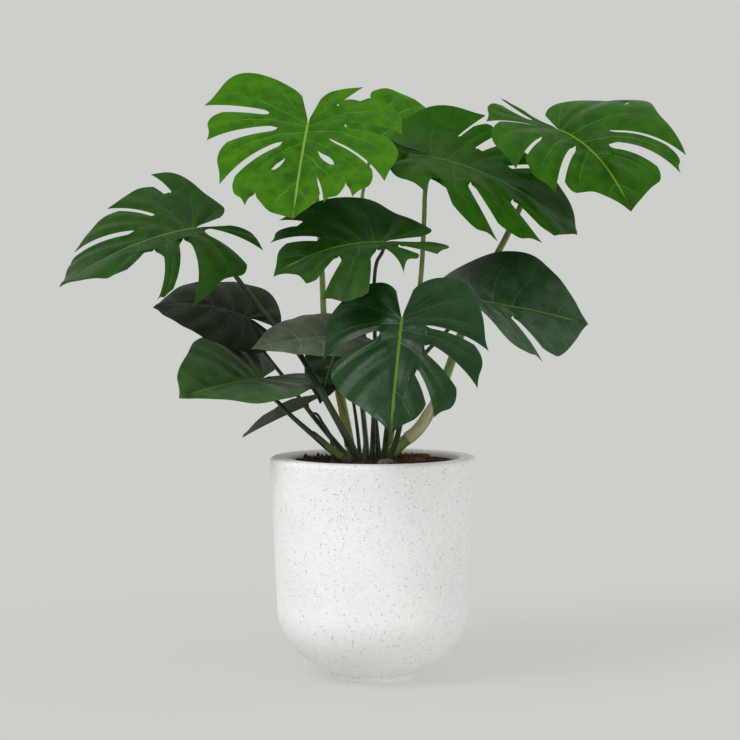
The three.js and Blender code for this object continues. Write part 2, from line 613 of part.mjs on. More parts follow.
/** A young rolled leaf still in its sheath: a spear that tapers to its tip. */
function spearSolid({ foot, top, radius }, extra = 0) {
  const low = new THREE.Vector3(...foot);
  const high = new THREE.Vector3(...top);
  const middle = low.clone().lerp(high, 0.5).add(new THREE.Vector3(0, 0, SPEAR_BULGE));
  low.z -= PLANTING_DEPTH / 2;
  const curve = new THREE.CatmullRomCurve3([low, new THREE.Vector3(...foot), middle, high]);
  const radiusAt = (t) => radius * (1 - SPEAR_THINNING * t ** SPEAR_TAPER) + extra;
  return barSolid(curve, radiusAt, SPEAR_RINGS, STALK_SIDES);
}

// ------------------------------------------------------------ planter, soil and bark

/** Points of an arc in the plane of a turned profile. */
function arcPoints(centreX, centreZ, radius, fromDegrees, toDegrees, steps) {
  return Array.from({ length: steps + 1 }, (_, i) => {
    const turn = rad(lerp(fromDegrees, toDegrees, i / steps));
    return new THREE.Vector2(centreX + radius * Math.cos(turn), centreZ + radius * Math.sin(turn));
  });
}

/** The lower part of the pot's cavity, from its axis outwards and up; shrink draws it inwards. */
function cavityProfile(shrink) {
  const points = [new THREE.Vector2(0, POT_FLOOR_HEIGHT + shrink)];
  for (let i = 0; i <= CAVITY_STEPS; i += 1) {
    const turn = rad(lerp(-90, 0, i / CAVITY_STEPS));
    points.push(new THREE.Vector2(
      POT_FLOOR_RADIUS + (POT_BEND_RADIUS - POT_FLOOR_RADIUS) * Math.cos(turn) - shrink,
      POT_BEND_HEIGHT + (POT_BEND_HEIGHT - POT_FLOOR_HEIGHT - shrink) * Math.sin(turn)));
  }
  return points;
}

/** The planter: its outer side and rounded bottom, its lip and its cavity, turned about the axis. */
function potGeometry() {
  const outside = [new THREE.Vector2(0, 0), new THREE.Vector2(POT_FOOT_RADIUS - POT_FOOT_EDGE, 0),
    new THREE.Vector2(POT_FOOT_RADIUS, POT_FOOT_EDGE)];
  const span = POT_BELLY_RADIUS - POT_BOTTOM_START;
  const first = Math.acos((POT_FOOT_RADIUS - POT_BOTTOM_START) / span);
  for (let i = 0; i <= BOTTOM_STEPS; i += 1) {
    const turn = lerp(first, 0, i / BOTTOM_STEPS);
    outside.push(new THREE.Vector2(
      POT_BOTTOM_START + span * Math.cos(turn), POT_BELLY_HEIGHT * (1 - Math.sin(turn))));
  }
  const lipHeight = POT_HEIGHT - POT_LIP_ROUND;
  const lip = [
    ...arcPoints(POT_RIM_RADIUS - POT_LIP_ROUND, lipHeight, POT_LIP_ROUND, 0, 90, LIP_STEPS),
    ...arcPoints(POT_MOUTH_RADIUS + POT_LIP_ROUND, lipHeight, POT_LIP_ROUND, 90, 180, LIP_STEPS),
  ];
  const profile = [...outside, ...lip, ...cavityProfile(0).reverse()];
  return new THREE.LatheGeometry(profile, POT_SEGMENTS).rotateX(Math.PI / 2);
}

/** Height of the soil's surface at a place: a low mound with small lumps that fade out at the wall. */
function soilHeight(x, y) {
  const reach = Math.hypot(x, y) / POT_MOUTH_RADIUS;
  const lumps = Math.sin(x * 0.11 + 1.3) * Math.sin(y * 0.13) + Math.sin(x * 0.053 - y * 0.071);
  const calm = clamp((1 - reach) * SOIL_CALMING, 0, 1);
  return SOIL_LEVEL + (1 - reach ** 2) * SOIL_MOUND + lumps * SOIL_LUMP * calm;
}

/** The soil: it fills the cavity up to its uneven surface. */
function soilSolid() {
  const wall = POT_MOUTH_RADIUS - FIT_GAP;
  const slope = (POT_MOUTH_RADIUS - POT_BEND_RADIUS) / (POT_HEIGHT - POT_LIP_ROUND - POT_BEND_HEIGHT);
  const rim = wall - slope * (POT_HEIGHT - POT_LIP_ROUND - SOIL_LEVEL) - FIT_GAP;
  const top = Array.from({ length: SOIL_RINGS + 1 }, (_, i) => (
    new THREE.Vector2(rim * (1 - i / SOIL_RINGS), SOIL_LEVEL)));
  const geometry = new THREE.LatheGeometry([...cavityProfile(FIT_GAP * 2), ...top], POT_SEGMENTS);
  geometry.rotateX(Math.PI / 2);
  const positions = geometry.getAttribute("position");
  for (let i = 0; i < positions.count; i += 1) {
    if (Math.abs(positions.getZ(i) - SOIL_LEVEL) > WELD) continue;
    positions.setZ(i, soilHeight(positions.getX(i), positions.getY(i)));
  }
  return solidOfGeometry(geometry);
}

/** A broken piece of bark or stone lying in the soil; grow makes it larger all round. */
function chipSolid({ at, size, turn, seed }, grow = 0) {
  const geometry = new THREE.IcosahedronGeometry(1, 1);
  const positions = geometry.getAttribute("position");
  const corner = new THREE.Vector3();
  for (let i = 0; i < positions.count; i += 1) {
    corner.fromBufferAttribute(positions, i);
    const rough = 1 + CHIP_ROUGHNESS * Math.sin(corner.x * 5 + seed) * Math.cos(corner.y * 4 + seed * 2);
    corner.multiplyScalar(rough);
    positions.setXYZ(i, corner.x, corner.y, corner.z);
  }
  geometry.scale(size[0] / 2 + grow, size[1] / 2 + grow, size[2] / 2 + grow);
  geometry.rotateZ(rad(turn));
  geometry.translate(at[0], at[1], soilHeight(...at) + size[2] * CHIP_LIFT);
  return solidOfGeometry(geometry);
}

// ------------------------------------------------------------ assembly

const plant = new THREE.Group();

/** Adds one named piece to the plant, with its own material. */
function place(name, geometry, color, roughness) {
  const material = new THREE.MeshStandardMaterial({ color, roughness, metalness: 0 });
  material.name = name;
  const mesh = new THREE.Mesh(geometry, material);
  mesh.name = name;
  plant.add(mesh);
}

place("pot", potGeometry(), 0xe9e8e4, 0.75);

let soil = soilSolid();
for (const leaf of LEAVES) soil = soil.subtract(stalkSolid(leaf, FIT_GAP));
for (const spear of SPEARS) soil = soil.subtract(spearSolid(spear, FIT_GAP));
for (const chip of CHIPS) soil = soil.subtract(chipSolid(chip, FIT_GAP * 2));
place("soil", geometryOf(largestPiece(soil)), 0x33241a, 0.95);

for (const leaf of LEAVES) {
  const age = YOUNG_LEAVES.includes(leaf.green) ? "young" : "old";
  place(`blade_${leaf.name}`, geometryOf(bladeSolid(leaf)), GREENS[leaf.green], 0.4);
  const stalk = largestPiece(stalkSolid(leaf).subtract(bladeSolid(leaf, FIT_GAP)));
  place(`stalk_${leaf.name}`, geometryOf(stalk), STALK_GREENS[age], 0.5);
}
for (const sheath of SHEATHS) {
  const leaf = LEAVES.find(({ name }) => name === sheath.stalk);
  place(`sheath_${sheath.stalk}`, geometryOf(sheathSolid({ ...sheath, leaf })), sheath.color, 0.8);
}
for (const spear of SPEARS) {
  place(`spear_${spear.name}`, geometryOf(spearSolid(spear)), 0x1d2a18, 0.6);
}
for (const chip of CHIPS) {
  place(`${chip.kind}_${chip.name}`, geometryOf(chipSolid(chip)), chip.color, 0.9);
}

export default plant;
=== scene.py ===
# %% [markdown]
# # A monstera in a round planter
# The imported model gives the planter, the compost, thirteen leaves on their stalks and a few small things
# on the compost as plain solids. This lesson gives each of them the finer shape and the finish of the
# real thing. Every new piece is a surface worked out with numpy in the same frame as the solids.

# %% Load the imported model
import math

import bpy
import numpy as np
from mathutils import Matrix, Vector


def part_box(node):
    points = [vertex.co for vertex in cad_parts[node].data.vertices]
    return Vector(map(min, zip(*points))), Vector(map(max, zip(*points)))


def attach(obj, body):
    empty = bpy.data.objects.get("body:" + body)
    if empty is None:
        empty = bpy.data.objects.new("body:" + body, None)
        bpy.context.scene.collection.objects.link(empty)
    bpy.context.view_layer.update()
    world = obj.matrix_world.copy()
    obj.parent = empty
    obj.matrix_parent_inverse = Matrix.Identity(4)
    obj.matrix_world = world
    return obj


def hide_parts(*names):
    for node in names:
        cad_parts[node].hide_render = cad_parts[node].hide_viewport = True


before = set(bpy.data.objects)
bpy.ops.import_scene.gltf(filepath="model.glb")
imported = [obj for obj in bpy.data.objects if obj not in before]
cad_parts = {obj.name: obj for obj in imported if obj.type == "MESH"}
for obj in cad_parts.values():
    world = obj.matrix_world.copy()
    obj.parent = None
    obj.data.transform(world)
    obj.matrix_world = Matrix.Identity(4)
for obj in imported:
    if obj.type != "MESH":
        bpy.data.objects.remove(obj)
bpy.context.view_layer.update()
MM = 0.001

# %% [markdown]
# ## Camera and light
# The plant is seen from a little above its planter's rim, from far away and through a long lens, so that
# upright lines stay nearly upright. The light is a studio's: an even pale surround with three very large
# soft lamps. Suns with a wide angle are used for the lamps because they light the whole floor evenly,
# which keeps the floor and the surround the same shade without a visible edge between them.

# %% Camera
EYE = (-5.4 * MM, -3230.8 * MM, 622.3 * MM)
EYE_PITCH = 2.645
EYE_LENS = 102.2

eye = bpy.data.cameras.new("eye")
eye.lens = EYE_LENS
eye.sensor_width = 36.0
eye.clip_end = 200.0
camera = bpy.data.objects.new("eye", eye)
camera.location = EYE
camera.rotation_euler = (math.radians(90.0 - EYE_PITCH), 0.0, 0.0)
bpy.context.scene.collection.objects.link(camera)
bpy.context.scene.camera = camera
bpy.context.scene.view_settings.view_transform = "Standard"
print("camera at", tuple(camera.location))

# %% Light
SURROUND = 0.61


def pale(level):
    """The studio's pale grey, with its very slight green cast, at a level of light."""
    return level, level * 1.02, level * 0.985, 1.0


def soft_lamp(name, strength, spread, tilt, heading):
    """A wide sun: tilt is its angle from straight down, heading the side it comes from, in degrees."""
    data = bpy.data.lights.new(name, "SUN")
    data.energy = strength
    data.angle = math.radians(spread)
    lamp = bpy.data.objects.new(name, data)
    lamp.rotation_euler = (math.radians(tilt), 0.0, math.radians(heading))
    bpy.context.scene.collection.objects.link(lamp)
    return lamp


world = bpy.data.worlds.new("studio")
world.use_nodes = True
world.node_tree.nodes["Background"].inputs["Color"].default_value = pale(SURROUND)
bpy.context.scene.world = world
soft_lamp("key", 1.5, 26.0, 42.0, -48.0)
soft_lamp("top", 0.4, 60.0, 12.0, 20.0)
soft_lamp("fill", 0.5, 70.0, 76.0, 38.0)
print("surround:", SURROUND)

# %% [markdown]
# ## How a finish is written
# A finish is a small network of nodes around one Principled shader. Wiring nodes by hand takes many lines,
# so two small classes do it: Finish adds any node with one method, and Signal wraps a number that varies
# over the surface, so that sums and products can be written as ordinary arithmetic.

# %% Finish and Signal
class Signal:
    """A number or colour that varies over a surface. Arithmetic on it adds Math nodes."""

    def __init__(self, finish, socket):
        self.finish = finish
        self.socket = socket

    def math(self, operation, *values):
        """One Math node: its operation on the values, each a number or another Signal."""
        return self.finish.node("ShaderNodeMath", {"operation": operation}, dict(enumerate(values)))

    def __add__(self, other):
        return self.math("ADD", self, other)

    def __sub__(self, other):
        return self.math("SUBTRACT", self, other)

    def __rsub__(self, other):
        return self.math("SUBTRACT", other, self)

    def __mul__(self, other):
        return self.math("MULTIPLY", self, other)

    __radd__ = __add__
    __rmul__ = __mul__

    def rise(self, low, high):
        """0 below low, 1 above high, with a smooth step between. Low above high gives a fall."""
        return self.finish.node(
            "ShaderNodeMapRange", {"interpolation_type": "SMOOTHSTEP"}, {0: self, 1: low, 2: high})


class Finish:
    """A material: one Principled shader and the nodes that feed it."""

    def __init__(self, name, **constants):
        self.material = bpy.data.materials.new(name)
        self.material.use_nodes = True
        self.tree = self.material.node_tree
        self.shader = self.tree.nodes["Principled BSDF"]
        for socket, value in constants.items():
            self.shader.inputs[socket.replace("_", " ")].default_value = value

    def node(self, kind, settings=None, inputs=None, output=0):
        """Adds a node: its settings first, then a value or a wire for each of its sockets."""
        made = self.tree.nodes.new(kind)
        for key, value in (settings or {}).items():
            setattr(made, key, value)
        for key, value in (inputs or {}).items():
            if isinstance(value, Signal):
                self.tree.links.new(value.socket, made.inputs[key])
            else:
                made.inputs[key].default_value = value
        return Signal(self, made.outputs[output])

    def mark(self, name):
        """A number that the mesh carries at each of its points."""
        return self.node("ShaderNodeAttribute", {"attribute_name": name}, output="Fac")

    def place(self, stretch=(1.0, 1.0, 1.0), flat=False):
        """Coordinates of the piece in metres, or of its flat pattern, stretched along each axis."""
        source = self.node("ShaderNodeTexCoord", output="UV" if flat else "Object")
        return self.node("ShaderNodeVectorMath", {"operation": "MULTIPLY"}, {0: source, 1: stretch})

    def noise(self, where, scale, detail=3.0, roughness=0.5):
        """Cloudy noise between 0 and 1; scale is in clouds per metre."""
        return self.node(
            "ShaderNodeTexNoise", {},
            {"Vector": where, "Scale": scale, "Detail": detail, "Roughness": roughness})

    def cells(self, where, scale, feature="F1", output=0):
        """Distance to the nearest of a field of scattered points, or to the edge between their cells."""
        return self.node(
            "ShaderNodeTexVoronoi", {"feature": feature}, {"Vector": where, "Scale": scale}, output)

    def blend(self, share, first, second):
        """A colour that goes from first to second as share goes from 0 to 1."""
        return self.node("ShaderNodeMix", {"data_type": "RGBA"}, {0: share, 6: first, 7: second}, 2)

    def feed(self, **signals):
        """Wires signals into the shader's own sockets."""
        for socket, signal in signals.items():
            self.tree.links.new(signal.socket, self.shader.inputs[socket.replace("_", " ")])

    def relief(self, height, depth):
        """Turns a height between 0 and 1 into a bump of that depth in metres."""
        bump = self.node("ShaderNodeBump", {}, {"Height": height, "Distance": depth, "Strength": 1.0})
        self.feed(Normal=bump)


def paint(red, green, blue):
    """A colour given in screen steps of 0 to 255, turned into the linear light that shaders use."""
    steps = np.array([red, green, blue]) / 255.0
    linear = np.where(steps <= 0.04045, steps / 12.92, ((steps + 0.055) / 1.055) ** 2.4)
    return (*linear.tolist(), 1.0)


print("bright leaf green as linear light:", paint(62, 118, 20))

# %% [markdown]
# ## From arrays to pieces
# Every piece is made the same way: an array of points, an array of triangles, and numbers for each point
# that the finishes can read. One helper puts these into a mesh, lets it ride on the model's body and hides
# the plain solid it stands for.

# %% Making a piece
CREASE = 50.0
SHORTEST = 1e-9
RIPPLE_HEIGHT = 2.2


def make_piece(name, points, faces, finish, replaces=(), pattern=None, marks=None):
    """Points in millimetres and triangles become an object; edges sharper than CREASE stay sharp."""
    mesh = bpy.data.meshes.new(name)
    mesh.from_pydata((points * MM).tolist(), [], faces.tolist())
    mesh.polygons.foreach_set("use_smooth", np.ones(len(faces), bool))
    if pattern is not None:
        layer = mesh.uv_layers.new(name="UVMap")
        layer.data.foreach_set("uv", (pattern * MM)[faces.ravel()].ravel())
    for mark, values in (marks or {}).items():
        mesh.attributes.new(mark, "FLOAT", "POINT").data.foreach_set("value", values.ravel())
    mesh.set_sharp_from_angle(angle=math.radians(CREASE))
    mesh.materials.append(finish.material)
    piece = bpy.data.objects.new(name, mesh)
    bpy.context.scene.collection.objects.link(piece)
    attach(piece, "root")
    if replaces:
        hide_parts(*replaces)
    return piece


def unit(vectors):
    """Vectors scaled to length 1."""
    return vectors / np.maximum(np.linalg.norm(vectors, axis=-1, keepdims=True), SHORTEST)


def grid_faces(rows, columns, wrap=False):
    """Two triangles for each cell of a grid of points numbered row by row."""
    row, column = np.meshgrid(np.arange(rows - 1), np.arange(columns - (0 if wrap else 1)), indexing="ij")
    beside = (column + 1) % columns
    a, b = row * columns + column, row * columns + beside
    c, d = (row + 1) * columns + beside, (row + 1) * columns + column
    return np.concatenate([np.stack([a, b, c], -1).reshape(-1, 3), np.stack([a, c, d], -1).reshape(-1, 3)])


def skin(rings, start, end):
    """A closed skin over rings of points, given as an array [ring, side, 3], with a point at each end."""
    count, sides = rings.shape[:2]
    points = np.concatenate([rings.reshape(-1, 3), [start, end]])
    side = np.arange(sides)
    beside = (side + 1) % sides
    first, last = np.full(sides, count * sides), np.full(sides, count * sides + 1)
    top = (count - 1) * sides
    caps = [np.stack([first, beside, side], -1), np.stack([last, top + side, top + beside], -1)]
    return points, np.concatenate([grid_faces(count, sides, wrap=True), *caps])


def sheet_solid(points, normals, faces, thickness):
    """A thin closed solid: the sheet moved half its thickness both ways, and walls along its free edges."""
    count = len(points)
    solid = np.concatenate([points + normals * thickness / 2, points - normals * thickness / 2])
    edges = np.concatenate([faces[:, [0, 1]], faces[:, [1, 2]], faces[:, [2, 0]]])
    free = edges[~np.isin(edges[:, 0] * count + edges[:, 1], edges[:, 1] * count + edges[:, 0])]
    start, end = free[:, 0], free[:, 1]
    walls = [np.stack([end, start, start + count], -1), np.stack([end, start + count, end + count], -1)]
    return solid, np.concatenate([faces, faces[:, ::-1] + count, *walls])


def ripple(points, scale, seed, waves=9):
    """Smooth random heights of about -1 to 1: a sum of sine waves that run in random directions."""
    rng = np.random.default_rng(seed)
    directions = unit(rng.normal(size=(waves, 3))) * rng.uniform(0.6, 1.8, (waves, 1)) / scale
    phases = rng.uniform(0, 2 * np.pi, waves)
    return np.sin(points @ directions.T + phases).mean(-1) * RIPPLE_HEIGHT


print("a grid of 3 by 4 points has", len(grid_faces(3, 4)), "triangles")

# %% [markdown]
# ## The planter
# The planter is cast in one piece and turned round: a straight side that narrows a little on its way
# down, a rounded bottom on a narrow foot, and a thick rounded lip. A turned shape is one profile carried
# round the axis, so the profile is worked out from a few sizes and every ring of points follows from it.

# %% Planter shape
POT_LOW, POT_HIGH = (np.array(corner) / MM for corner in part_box("pot"))
POT_HEIGHT = POT_HIGH[2]
POT_RIM = (POT_HIGH[0] - POT_LOW[0]) / 2
POT_BELLY, POT_BELLY_HEIGHT = 149.0, 110.0
POT_BOTTOM_START, POT_FOOT, POT_FOOT_EDGE = 15.0, 67.0, 2.0
POT_LIP_ROUND, POT_MOUTH = 7.0, 130.0
POT_BEND, POT_BEND_HEIGHT = 124.0, 120.0
POT_FLOOR, POT_FLOOR_HEIGHT = 60.0, 40.0
POT_BASE = 20.0
ROUND_STEPS = 160


def arc(centre, radius, start, end, steps):
    """Points of an arc (an ellipse if radius is a pair) from one angle to another, in degrees."""
    turn = np.radians(np.linspace(start, end, steps))
    wide, high = np.broadcast_to(radius, 2)
    return np.stack([centre[0] + wide * np.cos(turn), centre[1] + high * np.sin(turn)], -1)


def line(start, end, steps):
    """Evenly spaced points of a straight line, without its first one."""
    return np.linspace(start, end, steps + 1)[1:]


def cavity(shrink):
    """The cavity below its straight wall, from the floor outwards: a quarter ellipse, drawn in by shrink."""
    centre = (POT_FLOOR - shrink, POT_BEND_HEIGHT)
    return arc(centre, (POT_BEND - POT_FLOOR, POT_BEND_HEIGHT - POT_FLOOR_HEIGHT - shrink), -90, 0, 16)


def turned(profile, steps=ROUND_STEPS):
    """A profile of [radius, height] carried round the Z axis: rings of points [ring, side, 3]."""
    turn = np.linspace(0, 2 * np.pi, steps, endpoint=False)
    radius, height = profile[:, 0, None], profile[:, 1, None]
    return np.stack([radius * np.cos(turn), radius * np.sin(turn), height + 0 * turn], -1)


span = POT_BELLY - POT_BOTTOM_START
bottom_turn = -math.degrees(math.acos((POT_FOOT - POT_BOTTOM_START) / span))
lip_height = POT_HEIGHT - POT_LIP_ROUND
bottom = arc((POT_BOTTOM_START, POT_BELLY_HEIGHT), (span, POT_BELLY_HEIGHT), bottom_turn, 0, 40)
pot_profile = np.concatenate([
    [(POT_BASE, 0.0), (POT_FOOT - POT_FOOT_EDGE, 0.0)],
    arc((POT_FOOT - POT_FOOT_EDGE, POT_FOOT_EDGE), POT_FOOT_EDGE, -70, 0, 4),
    bottom[1:],
    line((POT_BELLY, POT_BELLY_HEIGHT), (POT_RIM, lip_height), 12),
    arc((POT_RIM - POT_LIP_ROUND, lip_height), POT_LIP_ROUND, 8, 90, 10),
    arc((POT_MOUTH + POT_LIP_ROUND, lip_height), POT_LIP_ROUND, 90, 180, 10),
    line((POT_MOUTH, lip_height), (POT_BEND, POT_BEND_HEIGHT), 10),
    cavity(0.0)[::-1][1:]])
pot_points, pot_faces = skin(turned(pot_profile), (0, 0, 0), (0, 0, POT_FLOOR_HEIGHT))
print("planter:", round(2 * POT_RIM), "mm across and", round(POT_HEIGHT), "mm high")

# %% [markdown]
# The finish is matt and nearly white, with fine dark specks of stone scattered through it and a slightly
# grainy surface. The specks are the spots of a cell pattern that lie closest to their cell's centre: a
# coarse sparse set and a finer, paler one.

# %% Planter finish
COARSE_SPECKS, FINE_SPECKS = 230.0, 520.0


def planter_finish():
    """Off-white with two sizes of dark speck, faint clouds and a fine grain."""
    finish = Finish("planter", Roughness=0.72)
    where = finish.place()
    lot = finish.cells(where, COARSE_SPECKS, output=1)
    drawn = finish.node("ShaderNodeSeparateColor", {}, {0: lot})
    coarse = finish.cells(where, COARSE_SPECKS).rise(0.24, 0.14) * drawn.rise(0.62, 0.75)
    fine = finish.cells(where, FINE_SPECKS).rise(0.36, 0.22)
    fine = fine * finish.noise(where, 120.0, 2.0).rise(0.36, 0.6)
    cloud = finish.noise(where, 9.0, 4.0)
    clay = finish.blend(cloud.rise(0.3, 0.7), paint(245, 243, 244), paint(251, 249, 250))
    clay = finish.blend(fine * 0.45, clay, paint(150, 148, 145))
    finish.feed(Base_Color=finish.blend(coarse * 0.75, clay, paint(84, 82, 82)))
    grain = finish.noise(where, 900.0, 2.0)
    finish.feed(Roughness=grain * 0.1 + 0.66)
    finish.relief(grain * 0.6 + finish.noise(where, 260.0, 2.0) * 0.6 - coarse, 0.0004)
    return finish


make_piece("planter_shell", pot_points, pot_faces, planter_finish(), ["pot"])

# %% [markdown]
# ## The compost
# Compost fills the planter nearly to its lip. Its body is the planter's cavity closed by an uneven top,
# so it is turned like the planter and its top is then raised and lowered. Real compost is crumbs, and
# what gives it away are the small lumps that catch the light, so about a thousand of these lie on top.

# %% Compost body
SOIL_LEVEL, SOIL_MOUND, SOIL_LUMP, SOIL_CALMING = 331.0, 4.0, 1.5, 4.0
SOIL_GAP = 0.6
SOIL_RINGS, SOIL_FADE = 70, 6.0


def soil_height(x, y):
    """Height of the compost: a low mound with lumps that fade out at the wall."""
    reach = np.hypot(x, y) / POT_MOUTH
    lumps = np.sin(x * 0.11 + 1.3) * np.sin(y * 0.13) + np.sin(x * 0.053 - y * 0.071)
    calm = np.clip((1 - reach) * SOIL_CALMING, 0, 1)
    return SOIL_LEVEL + (1 - reach ** 2) * SOIL_MOUND + lumps * SOIL_LUMP * calm


wall_slope = (POT_MOUTH - POT_BEND) / (lip_height - POT_BEND_HEIGHT)
soil_edge = POT_MOUTH - wall_slope * (lip_height - SOIL_LEVEL) - SOIL_GAP
surface_radii = np.linspace(soil_edge, 1.0, SOIL_RINGS)
soil_profile = np.concatenate([
    cavity(SOIL_GAP), np.stack([surface_radii, np.full(SOIL_RINGS, SOIL_LEVEL)], -1)])
soil_rings = turned(soil_profile)
top = soil_rings[-SOIL_RINGS:]
level = top * (1, 1, 0)
crumbly = ripple(level, 1.6, 3) * 0.8 + ripple(level, 4.0, 4) * 0.9
fade = np.clip((soil_edge - surface_radii) / SOIL_FADE, 0, 1)
top[..., 2] = soil_height(top[..., 0], top[..., 1]) + crumbly * fade[:, None]
soil_points, soil_faces = skin(
    soil_rings, (0, 0, POT_FLOOR_HEIGHT + SOIL_GAP), (0, 0, soil_height(0.0, 0.0)))
print("compost surface between", top[..., 2].min().round(1), "and", top[..., 2].max().round(1), "mm")


# %% Compost finish
def compost_finish(name, dark, warm):
    """Near-black brown with warmer fibres and a rough crumbly relief."""
    finish = Finish(name, Roughness=0.95, Specular_IOR_Level=0.25)
    where = finish.place()
    crumbs = finish.noise(where, 420.0, 6.0, 0.7)
    tone = finish.blend(crumbs.rise(0.4, 0.75), dark, warm)
    light = finish.noise(where, 1100.0, 2.0).rise(0.68, 0.74)
    finish.feed(Base_Color=finish.blend(light * 0.6, tone, paint(150, 118, 92)))
    finish.relief(crumbs + finish.noise(where, 1500.0, 2.0) * 0.3, 0.002)
    return finish


compost = compost_finish("compost", paint(46, 38, 33), paint(92, 68, 52))
make_piece("compost_body", soil_points, soil_faces, compost, ["soil"])


# %% Crumbs on the compost
BALL_LATITUDE = 65
CRUMB_COUNT, CRUMB_MARGIN, CRUMB_LIFT = 1100, 5.0, 0.3
CRUMB_SPREAD, CRUMB_SCALE, CRUMB_LEAST, CRUMB_MOST = 2.2, 0.75, 0.7, 4.2


def ball(rows, columns):
    """Points of a unit ball without its poles, [row, column, 3]: circles of latitude."""
    up = np.radians(np.linspace(-BALL_LATITUDE, BALL_LATITUDE, rows))[:, None]
    turn = np.linspace(0, 2 * np.pi, columns, endpoint=False)
    return np.stack([np.cos(up) * np.cos(turn), np.cos(up) * np.sin(turn), np.sin(up) + 0 * turn], -1)


def scatter_crumbs(count, seed):
    """Count rough little balls of random size and turn, each resting in the compost's surface."""
    rng = np.random.default_rng(seed)
    base, faces = skin(ball(3, 6), (0, 0, -1), (0, 0, 1))
    reach = np.sqrt(rng.uniform(0, 1, count)) * (soil_edge - CRUMB_MARGIN)
    turn = rng.uniform(0, 2 * np.pi, count)
    x, y = reach * np.cos(turn), reach * np.sin(turn)
    size = rng.gamma(CRUMB_SPREAD, CRUMB_SCALE, count).clip(CRUMB_LEAST, CRUMB_MOST)
    squash = rng.uniform(0.6, 1.3, (count, 1, 3))
    dents = rng.uniform(0.75, 1.2, (count, len(base), 1))
    points = base * (size[:, None, None] * squash * dents)
    points += np.stack([x, y, soil_height(x, y) + size * CRUMB_LIFT], -1)[:, None]
    return points.reshape(-1, 3), (faces + np.arange(count)[:, None, None] * len(base)).reshape(-1, 3)


crumb_points, crumb_faces = scatter_crumbs(CRUMB_COUNT, 11)
crumbs = compost_finish("compost_crumbs", paint(52, 42, 36), paint(118, 84, 62))
make_piece("compost_crumbs", crumb_points, crumb_faces, crumbs)
print("crumbs:", len(crumb_faces), "triangles")

# %% [markdown]
# Some larger pieces lie among the crumbs: bark and one pebble. Each is a ball stretched to the size of its
# plain solid, squared off a little, and roughened with ripples; bark is ridged along its length.

# %% Bark and pebble
CHIPS = {
    "bark_long": dict(at=(62, 34), size=(58, 22, 12), turn=12, ridges=0.5),
    "bark_front": dict(at=(62, -30), size=(40, 20, 10), turn=-20, ridges=0.5),
    "bark_left": dict(at=(-88, 14), size=(26, 18, 9), turn=40, ridges=0.4),
    "stone_grey": dict(at=(18, -84), size=(26, 18, 14), turn=25, ridges=0.0),
}
CHIP_LIFT, CHIP_SQUARENESS, CHIP_REACH = 0.18, 0.75, 2.15
RIDGE_HEIGHT, RIDGE_PACE, RIDGE_SLANT = 0.08, 22, 3


def spun(points, degrees):
    """Points turned about the Z axis."""
    cos, sin = math.cos(math.radians(degrees)), math.sin(math.radians(degrees))
    return points @ np.array([[cos, -sin, 0], [sin, cos, 0], [0, 0, 1]]).T


def chip(at, size, turn, ridges, seed):
    """A squared ball scaled to size, rippled, turned about Z and set into the compost."""
    rings = ball(26, 40)
    rings = np.sign(rings) * np.abs(rings) ** CHIP_SQUARENESS
    rough = 1 + 0.10 * ripple(rings, 0.5, seed) + 0.05 * ripple(rings, 0.16, seed + 1)
    rough += ridges * RIDGE_HEIGHT * np.sin(rings[..., 1] * RIDGE_PACE + RIDGE_SLANT * rings[..., 0])
    rings = rings * rough[..., None] * np.array(size) / CHIP_REACH
    rings = spun(rings, turn) + (*at, soil_height(*at) + size[2] * CHIP_LIFT)
    return skin(rings, rings[0].mean(0), rings[-1].mean(0))


def chip_finish(name, dark, light, stretch):
    """Mottled between two tones with streaks, on a rough relief."""
    finish = Finish(name, Roughness=0.9, Specular_IOR_Level=0.3)
    streak = finish.noise(finish.place(stretch), 260.0, 5.0, 0.65)
    finish.feed(Base_Color=finish.blend(streak.rise(0.35, 0.7), dark, light))
    finish.relief(streak, 0.0015)
    return finish


bark = chip_finish("bark", paint(52, 30, 18), paint(132, 82, 50), (0.35, 1.6, 1.0))
pebble = chip_finish("pebble", paint(82, 72, 66), paint(142, 130, 120), (1.0, 1.0, 1.0))
for seed, (name, facts) in enumerate(CHIPS.items()):
    finish, slot = (pebble, "pebble") if name == "stone_grey" else (bark, "bark")
    points, faces = chip(seed=seed * 5 + 2, **facts)
    make_piece(name + "_rough", points, faces, finish, [name])
print("chips:", ", ".join(CHIPS))

# %% [markdown]
# ## The leaves
# A leaf of this plant is a heart-shaped blade on a long stalk. Side veins leave the midrib and run out to
# the margin, and the blade is cut by slits that lie between them. So a blade is worked out in two steps.
# First it lies flat: its margin is a smooth curve of the distance from the stalk at a few angles, and each
# half is divided into lobes by seams that run from the midrib to the margin. A seam may open into a slit
# from some share of its length, and may close again, which leaves a hole. Then the flat blade is bent in
# space: it droops along its length, its halves fold and cup about the midrib, and it twists.

